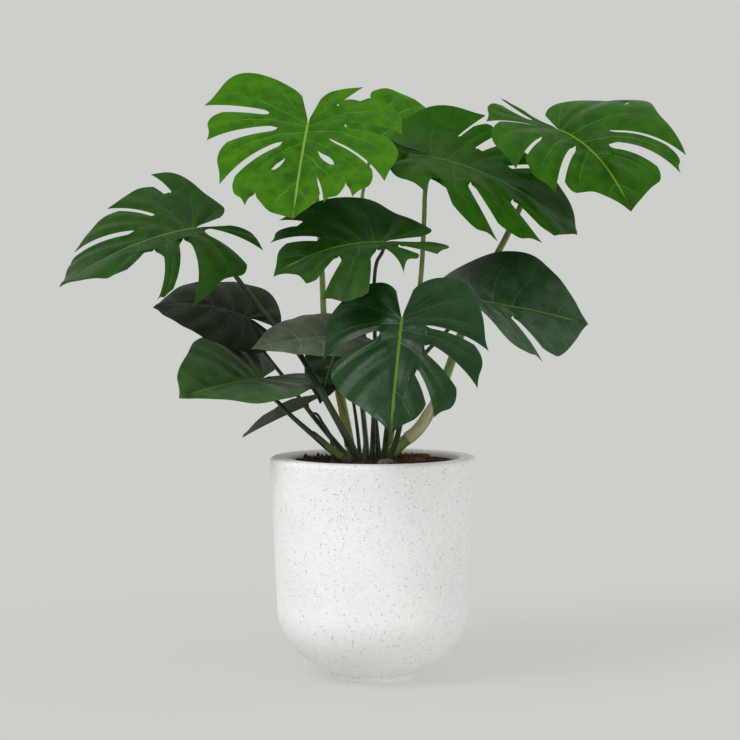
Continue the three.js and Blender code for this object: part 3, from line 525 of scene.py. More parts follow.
# %% Leaf sizes
# at: where stalk and blade meet. long: from there to the tip. turn: yaw of the tip, its dip and the roll.
# droop of the tip and of the back lobes, cup of the left and right half, and twist of the whole blade, in
# degrees per 100 mm. fold: slope of each half at the midrib. rim: reach of the margin at the RIM_ANGLES
# between the tip and the last one. A seam is its root on the midrib, its angle at the margin, the share of
# its length where a slit opens (1 for none) and the width of the mouth; a hole adds the shares where it
# starts and ends and its width. Left and right are seen from above with the tip ahead. stalk: points of
# its middle line above the compost. radii: its radius at the foot and below the knee.
RIM_ANGLES = np.array([0.0, 12, 30, 55, 80, 105, 130, 155, 166])
PLAIN_SEAMS = [(0, 132, 1, 0), (4, 98, 1, 0), (16, 68, 1, 0), (40, 44, 1, 0), (78, 25, 1, 0)]
LEAVES = {
    "top_left": dict(
        green="bright", at=(-101, 20, 852), long=226, turn=(-96, 36, 1),
        droop=(5, -15), fold=(-9, -15), cup=(19, 6), twist=3,
        left=dict(
            rim=[200, 200, 175, 145, 145, 125, 90],
            seams=[(4, 133, 0.5, 30), (20, 79, 0.4, 30), (30, 41, 0.25, 6),
                   (60, 24, 0.9, 6, 0.24, 0.54, 11), (100, 12, 0.4, 4)]),
        right=dict(
            rim=[215, 200, 160, 155, 155, 150, 100],
            seams=[(0, 125, 1, 0), (4, 92, 0.4, 22), (16, 61, 0.3, 24), (36, 34, 0.23, 14),
                   (70, 18, 0.9, 16, 0.26, 0.5, 7)]),
        stalk=[
            (-33, -4, 334), (-36, 4, 357), (-51, 52, 430), (-64, 106, 481), (-77, 114, 535),
            (-81, 100, 614), (-85, 62, 697), (-94, 45, 790)],
        radii=(8, 4.2)),
    "far_left": dict(
        green="deep", at=(-271, -40, 690), long=233, turn=(-143, 8, -40),
        droop=(17, -3), fold=(-23, 11), cup=(34, 3), twist=11,
        left=dict(
            rim=[205, 180, 190, 130, 120, 105, 90],
            seams=[(0, 123, 0.15, 60), (34, 56, 0.2, 38), (74, 37, 0.38, 70), (120, 17, 1, 0)]),
        right=dict(
            rim=[215, 195, 165, 155, 165, 105, 85],
            seams=[(0, 135, 1, 0), (10, 96, 0.66, 21), (22, 62, 0.4, 10), (44, 27, 0.33, 23),
                   (110, 14, 1, 0)]),
        stalk=[
            (-24, -45, 334), (-30, -50, 352), (-72, -64, 431), (-112, -26, 497), (-136, 6, 522),
            (-172, 8, 565), (-212, -15, 619), (-237, -28, 653)],
        radii=(7, 3.6)),
    "middle": dict(
        green="deep", at=(14, -100, 668), long=174, turn=(-176, -1, -16),
        droop=(22, -5), fold=(-5, -14), cup=(32, -7), twist=-9,
        left=dict(
            rim=[145, 145, 150, 135, 90, 90, 105],
            seams=[(0, 134, 0.35, 17), (26, 86, 0.33, 80), (49, 37, 0.38, 30), (90, 18, 1, 0)]),
        right=dict(
            rim=[160, 165, 140, 120, 95, 90, 90],
            seams=[(0, 120, 1, 0), (8, 85, 1, 0), (22, 58, 1, 0), (38, 34, 0.78, 18), (56, 21, 0.38, 12)]),
        stalk=[
            (-2, -30, 334), (1, -58, 430), (2, -88, 515), (1, -88, 609), (5, -92, 639)],
        radii=(5, 2.8)),
    "upper_right": dict(
        green="mid", at=(91, 50, 803), long=260, turn=(-12, 13, 23),
        droop=(13, -5), fold=(12, -13), cup=(-19, 13), twist=3,
        left=dict(
            rim=[245, 210, 165, 180, 190, 125, 80],
            seams=[(0, 118, 1, 0), (10, 78, 0.62, 5), (40, 60, 0.58, 25), (78, 36, 0.5, 12),
                   (140, 17, 1, 0)]),
        right=dict(
            rim=[240, 230, 215, 145, 130, 110, 85],
            seams=[(0, 125, 0.45, 55), (30, 70, 0.62, 70), (44, 45, 0.4, 22), (88, 22, 0.5, 30),
                   (150, 12, 1, 0)]),
        stalk=[
            (22, 40, 334), (29, 42, 377), (48, 48, 471), (65, 50, 549), (74, 52, 615), (79, 55, 705),
            (81, 55, 753)],
        radii=(5.5, 3.8)),
    "top_right": dict(
        green="bright", at=(291, 80, 846), long=208, turn=(-55, 16, 10),
        droop=(24, -20), fold=(-33, -16), cup=(28, 16), twist=12,
        left=dict(
            rim=[195, 200, 155, 150, 110, 95, 80],
            seams=[(0, 112, 1, 0), (14, 72, 1, 0, 0.7, 0.8, 6), (44, 34, 0.32, 6), (72, 24, 0.25, 18),
                   (110, 12, 1, 0)]),
        right=dict(
            rim=[170, 170, 155, 145, 120, 120, 110],
            seams=[(0, 150, 0.4, 30), (4, 106, 0.32, 5), (20, 60, 0.45, 7), (58, 34, 0.2, 12),
                   (104, 16, 1, 0)]),
        stalk=[
            (5, 12, 334), (24, 12, 342), (45, 12, 360), (70, 12, 380), (99, 12, 430), (139, 32, 536),
            (168, 74, 603), (212, 100, 683), (250, 112, 765), (267, 140, 798), (279, 132, 821)],
        radii=(11, 4.6)),
    "front": dict(
        green="dark", at=(41, -185, 556), long=194, turn=(-99, 50, -2),
        droop=(6, -4), fold=(-5, 7), cup=(17, 16), twist=-4,
        left=dict(
            rim=[170, 165, 145, 125, 115, 110, 80],
            seams=[(0, 130, 1, 0), (4, 98, 1, 0), (13, 72, 0.28, 7), (30, 43, 0.3, 33), (56, 19, 0.33, 9)]),
        right=dict(
            rim=[165, 150, 130, 120, 120, 105, 80],
            seams=[(0, 132, 1, 0), (3, 96, 1, 0), (18, 60, 0.25, 25), (44, 36, 1, 0), (82, 20, 1, 0)]),
        stalk=[
            (16, -48, 334), (22, -80, 402), (33, -140, 480), (39, -160, 524)],
        radii=(5.5, 3.6)),
    "right": dict(
        green="dark", at=(156, -30, 581), long=189, turn=(16, 9, 19),
        droop=(3, 0), fold=(-6, -16), cup=(-3, 26), twist=28,
        left=dict(rim=[165, 150, 145, 125, 100, 85, 70], seams=PLAIN_SEAMS),
        right=dict(
            rim=[170, 155, 135, 130, 110, 100, 80],
            seams=[(0, 132, 1, 0), (4, 98, 1, 0), (16, 66, 1, 0), (24, 45, 0.4, 26), (90, 22, 1, 0)]),
        stalk=[
            (24, -15, 334), (35, -14, 366), (65, -24, 479), (115, -22, 537), (137, -22, 561)],
        radii=(5.5, 3)),
    "dark_left": dict(
        green="dark", at=(-198, 110, 550), long=157, turn=(-169, -26, -29),
        droop=(28, 13), fold=(4, -8), cup=(9, 8), twist=4,
        left=dict(rim=[140, 125, 110, 95, 80, 70, 60], seams=PLAIN_SEAMS),
        right=dict(rim=[145, 130, 105, 100, 100, 75, 60], seams=PLAIN_SEAMS),
        stalk=[
            (-35, -27, 334), (-50, -10, 351), (-106, 62, 412), (-132, 100, 445), (-152, 112, 468),
            (-177, 114, 500)],
        radii=(6, 3)),
    "low_left": dict(
        green="mid_dull", at=(-172, 20, 459), long=208, turn=(-121, 1, -27),
        droop=(5, -13), fold=(-20, -13), cup=(-6, 11), twist=-6,
        left=dict(rim=[160, 160, 140, 110, 100, 90, 85], seams=PLAIN_SEAMS),
        right=dict(rim=[180, 140, 120, 110, 110, 105, 70], seams=PLAIN_SEAMS),
        stalk=[
            (-44, -48, 334), (-74, -48, 361), (-127, -44, 407), (-146, -28, 425)],
        radii=(7, 3)),
    "pale": dict(
        green="pale", at=(-57, -45, 527), long=134, turn=(-160, 3, -22),
        droop=(8, 8), fold=(-8, -8), cup=(12, 12), twist=0,
        left=dict(rim=[115, 100, 85, 80, 75, 65, 55], seams=PLAIN_SEAMS),
        right=dict(rim=[115, 100, 85, 80, 75, 65, 55], seams=PLAIN_SEAMS),
        stalk=[
            (-10, -10, 334), (-17, -15, 409), (-33, -28, 474), (-46, -38, 502)],
        radii=(4, 2.4)),
    "hanging": dict(
        green="dark", at=(-56, 62, 509), long=100, turn=(-130, 60, 0),
        droop=(10, 0), fold=(-5, -5), cup=(12, 12), twist=0,
        left=dict(rim=[85, 75, 65, 60, 55, 50, 40], seams=PLAIN_SEAMS),
        right=dict(rim=[85, 75, 65, 60, 55, 50, 40], seams=PLAIN_SEAMS),
        stalk=[
            (-21, 22, 334), (-27, 40, 393), (-38, 62, 454), (-49, 70, 489)],
        radii=(3.6, 2.4)),
    "narrow": dict(
        green="mid_dull", at=(-103, 8, 420), long=112, turn=(-180, 24, 8),
        droop=(6, 0), fold=(-24, -18), cup=(14, 14), twist=0,
        left=dict(rim=[90, 60, 45, 30, 25, 25, 25], seams=PLAIN_SEAMS),
        right=dict(rim=[90, 60, 45, 30, 25, 25, 25], seams=PLAIN_SEAMS),
        stalk=[
            (-60, -24, 334), (-67, -20, 374), (-78, -13, 392), (-87, -4, 405)],
        radii=(4.5, 2)),
    "back": dict(
        green="bright", at=(17, 200, 874), long=165, turn=(-30, 38, 20),
        droop=(10, 0), fold=(-10, -10), cup=(15, 15), twist=0,
        left=dict(rim=[135, 120, 100, 95, 85, 80, 65], seams=PLAIN_SEAMS),
        right=dict(rim=[135, 120, 100, 95, 85, 80, 65], seams=PLAIN_SEAMS),
        stalk=[
            (-10, 50, 334), (-18, 80, 422), (-26, 130, 531), (-26, 170, 643), (-17, 195, 754),
            (-5, 200, 809)],
        radii=(5, 3)),
}
print("leaves:", len(LEAVES))

# %% The flat blade
SINUS_ANGLE = 166.0
SINUS_SHORTENING = 0.93
TIP_SHARPNESS = 2.0
VEIN_BOW, VEIN_BOW_END, VEIN_BOW_FADE = 0.15, 130.0, 30.0
SLIT_INNER_END, SLIT_INNER_SHARE, SLIT_INNER_CLOSING, SLIT_END_LENGTH = 7.0, 0.4, 0.8, 0.1
UNCUT_DEPTH = 0.4
NO_HOLE = (0.0, 0.0, 0.0)
HOLE_BLUNTNESS = 0.7
TINY = 1e-6
BACK_CORNER, BACK_CORNER_DROP, NOTCH_CORNER_DROP = 0.5, 0.14, 0.3
TIP_CORNER, TIP_CORNER_RISE = 0.3, 0.05
CORNER_START, CORNER_SHARPNESS = 0.5, 1.5
ROOT_STEP, ANGLE_STEP = 0.003, 0.03
ROWS = np.concatenate([0.5 * np.linspace(0, 1, 26), 0.5 + 0.5 * np.linspace(0, 1, 28)[1:] ** 1.6])
STEPS = np.linspace(-1, 1, 17)
COLUMNS = 0.5 + 0.5 * np.sign(STEPS) * np.abs(STEPS) ** 1.25


def rim_reach(half, long, angle):
    """Distance to the margin at an angle from the tip: a smooth cubic through the rim sizes."""
    radii = np.array([long, *half["rim"], half["rim"][-1] * SINUS_SHORTENING], float)
    slopes = np.diff(radii) / np.diff(RIM_ANGLES)
    tangents = (np.append(slopes[0], slopes) + np.append(slopes, slopes[-1])) / 2
    tangents[0] *= TIP_SHARPNESS
    at = np.clip(angle, 0, SINUS_ANGLE)
    i = np.clip(np.searchsorted(RIM_ANGLES, at, side="right") - 1, 0, len(slopes) - 1)
    span = RIM_ANGLES[i + 1] - RIM_ANGLES[i]
    t = (at - RIM_ANGLES[i]) / span
    s = 1 - t
    return (radii[i] * (1 + 2 * t) * s ** 2 + tangents[i] * span * t * s ** 2
            + radii[i + 1] * t ** 2 * (3 - 2 * t) - tangents[i + 1] * span * t ** 2 * s)


def seam_point(half, long, root, angle, share):
    """A point on a seam: it leaves the midrib at root and bows back on its way to the margin."""
    reach = rim_reach(half, long, angle)
    out_u = reach * np.cos(np.radians(angle)) - root
    out_v = reach * np.sin(np.radians(angle))
    bow = 2 * share * (1 - share) * VEIN_BOW * np.clip((VEIN_BOW_END - angle) / VEIN_BOW_FADE, 0, 1)
    return np.stack([root + out_u * share - np.abs(out_v) * bow, out_v * share + out_u * bow], -1)


def gap_width(seam, share):
    """Width of the gap on a seam: a slit, round at its inner end and widest at its mouth, and a hole."""
    depth, mouth, hole_start, hole_end, hole_width = seam[2:]
    along = np.clip((share - depth) / np.maximum(1 - depth, TINY), 0, 1)
    inner = SLIT_INNER_CLOSING * np.minimum(mouth, SLIT_INNER_END + SLIT_INNER_SHARE * mouth)
    slit = inner * np.sqrt(np.minimum(along / SLIT_END_LENGTH, 1)) + (mouth - inner) * along
    through = np.clip((share - hole_start) / np.maximum(hole_end - hole_start, TINY), 0, 1)
    return slit + hole_width * np.sin(np.pi * through).clip(0) ** HOLE_BLUNTNESS


def share_at(depth, row):
    """Share of a seam covered at a row of the grid: row 0.5 lies at the inner end of a slit."""
    end = np.where(depth < 1, depth, UNCUT_DEPTH)
    return np.where(row < 0.5, end * row * 2, end + (1 - end) * (row - 0.5) * 2)


def flat_lobes(half, long):
    """All the lobes of a half blade at once: flat points and marks as arrays [lobe, row, column]."""
    rows = [(*seam, *NO_HOLE)[:7] for seam in [(0, SINUS_ANGLE, 0, 0), *half["seams"], (long, 0, 1, 0)]]
    seams = np.array(rows, float)[:, :, None, None]
    back, ahead = seams[:-1].swapaxes(0, 1), seams[1:].swapaxes(0, 1)
    x, row = COLUMNS[None, None, :], ROWS[None, :, None]
    plain = share_at(back[2], row) * (1 - x) + share_at(ahead[2], row) * x
    most = np.where(back[2] == 0, NOTCH_CORNER_DROP, BACK_CORNER_DROP * (back[3] > 0))
    drop = most * np.clip((BACK_CORNER - x) / BACK_CORNER, 0, 1) ** 2
    rise = TIP_CORNER_RISE * np.clip((x - 1 + TIP_CORNER) / TIP_CORNER, 0, 1) ** 2 * (ahead[3] > 0)
    near_rim = np.clip((plain - CORNER_START) / (1 - CORNER_START), 0, 1) ** CORNER_SHARPNESS
    share = plain + (rise - drop) * near_rim
    root = back[0] * (1 - x) + ahead[0] * x
    angle = back[1] * (1 - x) + ahead[1] * x
    here = seam_point(half, long, root, angle, share)
    across = seam_point(half, long, root + ROOT_STEP, angle - ANGLE_STEP, share) - here
    wide_back = gap_width(back, share)
    wide_ahead = gap_width(ahead, share)
    shift = (1 - x) * wide_back / 2 - x * wide_ahead / 2
    flat = here + across / (np.linalg.norm(across, axis=-1, keepdims=True) + TINY) * shift[..., None]
    return flat, x + 0 * share, np.minimum(share, 1), wide_back, wide_ahead


flat, *_ = flat_lobes(LEAVES["top_left"]["left"], LEAVES["top_left"]["long"])
print("one half blade has", flat.shape[0], "lobes of", flat.shape[1], "by", flat.shape[2], "points")

# %% [markdown]
# A real blade isn't smooth between its veins. The side veins, one in the middle of each lobe, lie in
# shallow grooves; the blade swells between them and turns down a little at every free edge. That is what
# breaks the light on it into streaks, so it is part of the shape and not only of the finish.

# %% Swelling between the veins
SWELL, SWELL_MOST = 0.07, 3.0
SWELL_START, SWELL_LOSS = 0.15, 0.5
OPEN_GAP = 5.0
FREE_SWELL, EDGE_CURL = 0.8, 0.3
MARGIN_DIP, MARGIN_DIP_SHARPNESS = 1.2, 8


def swelling(flat, x, share, wide_back, wide_ahead):
    """Height above the smooth blade: none on a vein, most between veins, a little down at free edges."""
    width = np.linalg.norm(flat[:, :, -1:] - flat[:, :, :1], axis=-1)
    open_here = np.clip(np.where(x < 0.5, wide_back, wide_ahead) / OPEN_GAP, 0, 1)
    off = np.abs(x - 0.5) * 2
    closed = np.sin(np.pi / 2 * off) ** 2
    free = FREE_SWELL * np.sin(np.pi * off) ** 2 - EDGE_CURL * off ** 2
    grow = np.clip(share / SWELL_START, 0, 1) * (1 - SWELL_LOSS * share ** 3)
    size = np.minimum(SWELL * width, SWELL_MOST)
    dip = MARGIN_DIP * share ** MARGIN_DIP_SHARPNESS
    return size * grow * (closed * (1 - open_here) + free * open_here) - dip


# %% The blade in space
BEND_SPAN = 100.0
NORMAL_STEP, OFF_MIDRIB = 0.5, 1e-4


def arc_lengths(start, rate, length):
    """Along and down distances of an arc that leaves at an angle and bends at a rate, in radians."""
    rate = np.where(np.abs(rate) < TINY, TINY, rate)
    end = start + rate * length
    return (np.sin(end) - np.sin(start)) / rate, (np.cos(start) - np.cos(end)) / rate


def leaf_axes(leaf):
    """Unit vectors towards the tip, across to the left and up out of the blade where it meets its stalk."""
    yaw, pitch, roll = np.radians(leaf["turn"])
    tip = np.array([np.cos(yaw) * np.cos(pitch), np.sin(yaw) * np.cos(pitch), -np.sin(pitch)])
    level = np.array([-np.sin(yaw), np.cos(yaw), 0.0])
    across = level * np.cos(roll) + np.cross(tip, level) * np.sin(roll)
    return tip, across, np.cross(tip, across)


def blade_place(leaf, u, v):
    """The flat point (u, v) in space: arcs across and along, turned by the twist, on the leaf's axes."""
    tip, across, up = leaf_axes(leaf)
    droop = np.radians(np.where(u >= 0, leaf["droop"][0], leaf["droop"][1])) / BEND_SPAN
    along, down = arc_lengths(0.0, droop, u)
    fold = np.radians(np.where(v >= 0, leaf["fold"][0], leaf["fold"][1]))
    cup = np.radians(np.where(v >= 0, leaf["cup"][0], leaf["cup"][1])) / BEND_SPAN
    width, sag = arc_lengths(fold, cup, np.abs(v))
    twist = np.radians(leaf["twist"]) / BEND_SPAN * u
    sideways = np.where(v >= 0, width, -width)
    wide = sideways * np.cos(twist) + sag * np.sin(twist)
    deep = -sideways * np.sin(twist) + sag * np.cos(twist)
    return (np.array(leaf["at"]) + (along - deep * np.sin(droop * u))[..., None] * tip
            + wide[..., None] * across - (down + deep * np.cos(droop * u))[..., None] * up)


def blade_normal(leaf, u, v, side):
    """Upward normal of the smooth blade, from small steps along it and across it."""
    here = blade_place(leaf, u, v + side * OFF_MIDRIB)
    ahead = blade_place(leaf, u + NORMAL_STEP, v + side * OFF_MIDRIB) - here
    beside = (blade_place(leaf, u, v + side * NORMAL_STEP) - here) * side
    return unit(np.cross(ahead, beside))


tip, across, up = leaf_axes(LEAVES["front"])
print("the front leaf's tip points to", tip.round(2))

# %% [markdown]
# Each half blade becomes a thin closed solid, and the midrib is a tapering bar along the line where the
# halves meet: flush above, where it shows as a pale stripe, and proud below, as on the real leaf.

# %% Blades as solids
BLADE_THICKNESS = 0.8
RIB_RADIUS, RIB_TIP_RADIUS, RIB_SLIMNESS = 2.6, 0.7, 0.8
RIB_REACH, RIB_TAPER, RIB_RISE = 0.97, 0.8, 0.25
RIB_RINGS, RIB_SIDES = 60, 16
WAVE, WAVE_LENGTH = 1.4, 26.0
WELDS_PER_MM = 100
FAR = 99.0


def half_solid(leaf, half, side, seed):
    """One half of a blade: its lobes welded along closed seams, swollen, waved and thickened."""
    flat, x, share, wide_back, wide_ahead = flat_lobes(half, leaf["long"])
    lift = swelling(flat, x, share, wide_back, wide_ahead)
    vein = np.linalg.norm(flat - flat[:, :, len(COLUMNS) // 2][:, :, None], axis=-1)
    margin = np.linalg.norm(flat - flat[:, -1:], axis=-1)
    back_edge = np.where(wide_back > 0, np.linalg.norm(flat - flat[:, :, :1], axis=-1), FAR)
    ahead_edge = np.where(wide_ahead > 0, np.linalg.norm(flat - flat[:, :, -1:], axis=-1), FAR)
    edge = np.minimum(np.minimum(back_edge, ahead_edge), margin)
    table = np.concatenate([flat, np.stack([lift, vein, share, edge], -1)], -1).reshape(-1, 6)
    spots = np.round(table[:, :2] * WELDS_PER_MM).astype(np.int64)
    _, first, where = np.unique(spots, axis=0, return_index=True, return_inverse=True)
    lobes, rows, columns = share.shape
    one = grid_faces(rows, columns)
    faces = (one + np.arange(lobes)[:, None, None] * rows * columns).reshape(-1, 3)
    faces = where.ravel()[faces]
    whole = (faces[:, 0] != faces[:, 1]) & (faces[:, 1] != faces[:, 2]) & (faces[:, 0] != faces[:, 2])
    faces = faces[whole][:, ::side]
    u, v, lift, vein, share, edge = table[first].T
    normals = blade_normal(leaf, u, v * side, side)
    lift = lift + WAVE * ripple(np.stack([u, v * side, 0 * u], -1), WAVE_LENGTH, seed) * share ** 2
    points = blade_place(leaf, u, v * side) + normals * lift[:, None]
    solid, faces = sheet_solid(points, normals, faces, BLADE_THICKNESS)
    under = np.repeat([0.0, 1.0], len(u))
    pattern = np.tile(np.stack([u, v * side], -1), (2, 1))
    marks = dict(vein=np.tile(vein, 2), rib=np.tile(v, 2), share=np.tile(share, 2),
                 edge=np.tile(edge, 2), under=under)
    return solid, faces, pattern, marks


def sweep(path, radii, sides, reference):
    """Circles carried along a path, with radii [ring] or [ring, side]; reference fixes their turn."""
    along = unit(np.gradient(path, axis=0))
    normal = unit(reference - along * (along @ reference)[:, None])
    other = np.cross(along, normal)
    turn = np.linspace(0, 2 * np.pi, sides, endpoint=False)[:, None]
    ring = normal[:, None] * np.cos(turn) + other[:, None] * np.sin(turn)
    size = np.broadcast_to(np.asarray(radii).reshape(len(path), -1), (len(path), sides))
    return path[:, None] + ring * size[..., None]


def rib_solid(leaf):
    """The midrib: a tapering bar just under the blade's upper face."""
    t = np.linspace(0, 1, RIB_RINGS)
    u = -RIB_RADIUS + (leaf["long"] * RIB_REACH + RIB_RADIUS) * t
    zero = np.zeros_like(u)
    up = unit(blade_normal(leaf, u, zero, 1) + blade_normal(leaf, u, zero, -1))
    radii = (RIB_RADIUS + (RIB_TIP_RADIUS - RIB_RADIUS) * t ** RIB_TAPER) * RIB_SLIMNESS
    path = blade_place(leaf, u, zero) + up * (BLADE_THICKNESS / 2 + RIB_RISE - radii)[:, None]
    rings = sweep(path, radii, RIB_SIDES, leaf_axes(leaf)[1])
    points, faces = skin(rings, path[0], path[-1])
    height = ((rings - path[:, None]) * up[:, None]).sum(-1)
    under = np.append((height < 0).ravel().astype(float), [1.0, 1.0])
    flat = np.append(np.repeat(u, RIB_SIDES), [u[0], u[-1]])
    ones = np.ones(len(points))
    marks = dict(vein=ones * FAR, rib=ones * 0, share=ones * 0, edge=ones * FAR, under=under)
    return points, faces, np.stack([flat, 0 * flat], -1), marks


def joined(parts):
    """Several solids as one: points, faces, flat pattern and marks."""
    starts = np.cumsum([0] + [len(part[0]) for part in parts])
    points = np.concatenate([part[0] for part in parts])
    faces = np.concatenate([part[1] + start for part, start in zip(parts, starts)])
    pattern = np.concatenate([part[2] for part in parts])
    marks = {key: np.concatenate([part[3][key] for part in parts]) for key in parts[0][3]}
    return points, faces, pattern, marks


def blade(leaf, seed):
    """A whole blade: two halves and the midrib."""
    return joined([
        half_solid(leaf, leaf["left"], 1, seed), half_solid(leaf, leaf["right"], -1, seed), rib_solid(leaf)])


points, faces, *_ = blade(LEAVES["front"], 0)
print("the front blade has", len(faces), "triangles")

# %% [markdown]
# The upper face is waxy: a dark or fresh green, a paler stripe on the midrib, thin pale lines on the side
# veins, a faint net of the finest veins and a soft gloss that changes a little from place to place. The
# underside is paler and duller. The marks on the mesh say how far each point is from a vein, from the
# midrib and from an edge, so the lines follow the shape exactly.

# %% Leaf finish
# Upper face in its dark and light tone, its veins, its midrib and its underside.
GREENS = {
    "bright": [(30, 74, 10), (64, 118, 4), (96, 138, 52), (120, 156, 60), (104, 136, 60)],
    "fresh": [(22, 60, 5), (46, 94, 8), (78, 118, 40), (98, 140, 36), (96, 128, 56)],
    "mid": [(20, 58, 1), (38, 84, 3), (56, 100, 20), (88, 128, 20), (74, 104, 38)],
    "mid_dull": [(32, 60, 20), (58, 94, 38), (74, 106, 56), (84, 112, 50), (84, 106, 62)],
    "deep": [(16, 48, 6), (36, 76, 14), (60, 96, 38), (80, 118, 26), (68, 94, 46)],
    "dark": [(9, 34, 9), (26, 62, 24), (46, 82, 42), (78, 118, 14), (58, 84, 46)],
    # Painted sheen: a paler, greyer set whose light tones paint the right leaf's grey-green gloss into its
    # colour.
    "painted_sheen": [(20, 44, 22), (56, 84, 54), (66, 94, 62), (74, 112, 30), (60, 84, 50)],
    "umber": [(14, 22, 8), (40, 54, 28), (56, 68, 42), (56, 72, 30), (50, 62, 38)],
    "pale": [(58, 70, 52), (90, 102, 80), (116, 126, 104), (104, 116, 84), (96, 106, 84)],
}
# The wax on the upper face: its index of refraction, and its roughness, where lower is glossier.
WAX_INDEX = {
    "bright": 1.12, "fresh": 1.14, "mid": 1.1, "mid_dull": 1.15, "deep": 1.16,
    "dark": 1.24, "painted_sheen": 1.28, "umber": 1.14, "pale": 1.2,
}
WAX_ROUGHNESS = {
    "bright": 0.34, "fresh": 0.32, "mid": 0.32, "mid_dull": 0.36, "deep": 0.32,
    "dark": 0.25, "painted_sheen": 0.26, "umber": 0.34, "pale": 0.5,
}


def leaf_finish(green):
    """Waxy leaf: tones by cloud and by share of the way out, lines by the marks for veins and midrib."""
    finish = Finish(f"leaf_{green}", IOR=WAX_INDEX[green])
    dark, light, vein_tone, rib_tone, under_tone = (paint(*steps) for steps in GREENS[green])
    where = finish.place(flat=True)
    share, under = finish.mark("share"), finish.mark("under")
    cloud = finish.noise(where, 34.0, 5.0, 0.6)
    tone = finish.blend(cloud.rise(0.3, 0.7) * 0.6 + share * 0.4, dark, light)
    net = finish.cells(where, 330.0, "DISTANCE_TO_EDGE").rise(0.10, 0.02)
    tone = finish.blend(net * 0.10, tone, vein_tone)
    vein_line = finish.mark("vein").rise(0.95, 0.35) * share.rise(0.98, 0.55)
    tone = finish.blend(vein_line * 0.75, tone, vein_tone)
    rib_line = (finish.mark("rib") + share * 3.0).rise(2.6, 1.4)
    tone = finish.blend(rib_line * 0.9, tone, rib_tone)
    rim_line = finish.mark("edge").rise(0.9, 0.3)
    tone = finish.blend(rim_line * 0.45, tone, vein_tone)
    below = finish.blend(finish.noise(where, 60.0, 3.0), under_tone, light)
    finish.feed(Base_Color=finish.blend(under, tone, below))
    patch = finish.noise(where, 55.0, 3.0)
    finish.feed(Roughness=patch * 0.16 + (WAX_ROUGHNESS[green] - 0.08) + under * 0.2)
    groove = finish.mark("vein").rise(0.0, 2.2)
    fine = finish.noise(where, 520.0, 3.0) * 0.35 + finish.noise(where, 140.0, 2.0) * 0.6
    finish.relief(groove * 0.9 + fine - net * 0.12, 0.0004)
    return finish


leaf_finishes = {green: leaf_finish(green) for green in GREENS}
SLOTS = {"mid_dull": "leaf_dull"}
# The right leaf takes the painted sheen set, so its highlights are painted into its colour and not made by
# the lamps.
TONES = {"top_right": "fresh", "right": "painted_sheen", "narrow": "pale", "dark_left": "umber"}
for seed, (name, leaf) in enumerate(LEAVES.items()):
    points, faces, pattern, marks = blade(leaf, seed * 3 + 1)
    green = leaf["green"]
    slot = SLOTS.get(green, f"leaf_{green}")
    finish = leaf_finishes[TONES.get(name, green)]
    make_piece(f"leaf_{name}", points, faces, finish, [f"blade_{name}"], pattern, marks)
    print("leaf", name, len(faces), "triangles")

# %% [markdown]
# ## The stalks
# Each stalk leaves the compost steeply, leans out and ends in a short stiff knee that holds the blade. It
# is a circle carried along a smooth curve through a few points, thick at the foot, slender above and a
# little swollen at the knee. The thickest one is a piece of the stem itself, with the rings that old
# leaves left on it.

# %% Paths and stalks
PLANTING_DEPTH = 32.0
KNEE_LENGTH = 14.0
KNEE_START, KNEE_FADE, KNEE_SWELLING = 0.965, 0.01, 0.13
STALK_TAPER = 2.2
STALK_RINGS, STALK_SIDES = 150, 20
STEM_RINGS, STEM_RING_HEIGHT, STEM_RING_WIDTH = (52.0, 96.0, 150.0), 0.10, 2.2
SAMPLES = 24
AWAY = np.array([0.0, 1.0, 0.0])


def smooth_path(knots, count):
    """A centripetal Catmull-Rom curve through the knots, as evenly spaced points."""
    p = np.concatenate([[2 * knots[0] - knots[1]], knots, [2 * knots[-1] - knots[-2]]])
    gap = np.sqrt(np.linalg.norm(np.diff(p, axis=0), axis=1))[:, None]
    g0, g1, g2 = gap[:-2], gap[1:-1], gap[2:]
    p0, p1, p2, p3 = p[:-3], p[1:-2], p[2:-1], p[3:]
    leave = ((p1 - p0) / g0 - (p2 - p0) / (g0 + g1) + (p2 - p1) / g1) * g1
    arrive = ((p2 - p1) / g1 - (p3 - p1) / (g1 + g2) + (p3 - p2) / g2) * g1
    t = np.linspace(0, 1, SAMPLES, endpoint=False)[None, :, None]
    p1, p2, leave, arrive = p1[:, None], p2[:, None], leave[:, None], arrive[:, None]
    curve = (p1 * (1 + 2 * t) * (1 - t) ** 2 + leave * t * (1 - t) ** 2
             + p2 * t ** 2 * (3 - 2 * t) - arrive * t ** 2 * (1 - t))
    curve = np.concatenate([curve.reshape(-1, 3), knots[-1:]])
    length = np.append(0, np.cumsum(np.linalg.norm(np.diff(curve, axis=0), axis=1)))
    even = np.linspace(0, length[-1], count)
    return np.stack([np.interp(even, length, curve[:, k]) for k in range(3)], -1), length[-1]


def stalk_path(leaf, count=STALK_RINGS):
    """From below the compost, through the stalk's points, square to the blade at its knee."""
    knots = np.array(leaf["stalk"], float)
    foot = knots[0] - (0, 0, PLANTING_DEPTH)
    origin = np.array(1.0)
    up = unit(blade_normal(leaf, origin, 0 * origin, 1) + blade_normal(leaf, origin, 0 * origin, -1))
    at = np.array(leaf["at"], float)
    return smooth_path(np.concatenate([[foot], knots, [at - up * KNEE_LENGTH, at - up]]), count)


def stalk_radius(leaf, t):
    """Radius by share of the length: thick foot, slender above, swollen knee."""
    base, neck = leaf["radii"]
    slender = base + (neck - base) * (1 - (1 - np.clip(t, 0, 1)) ** STALK_TAPER)
    return slender * (1 + KNEE_SWELLING * np.clip((t - KNEE_START) / KNEE_FADE, 0, 1))


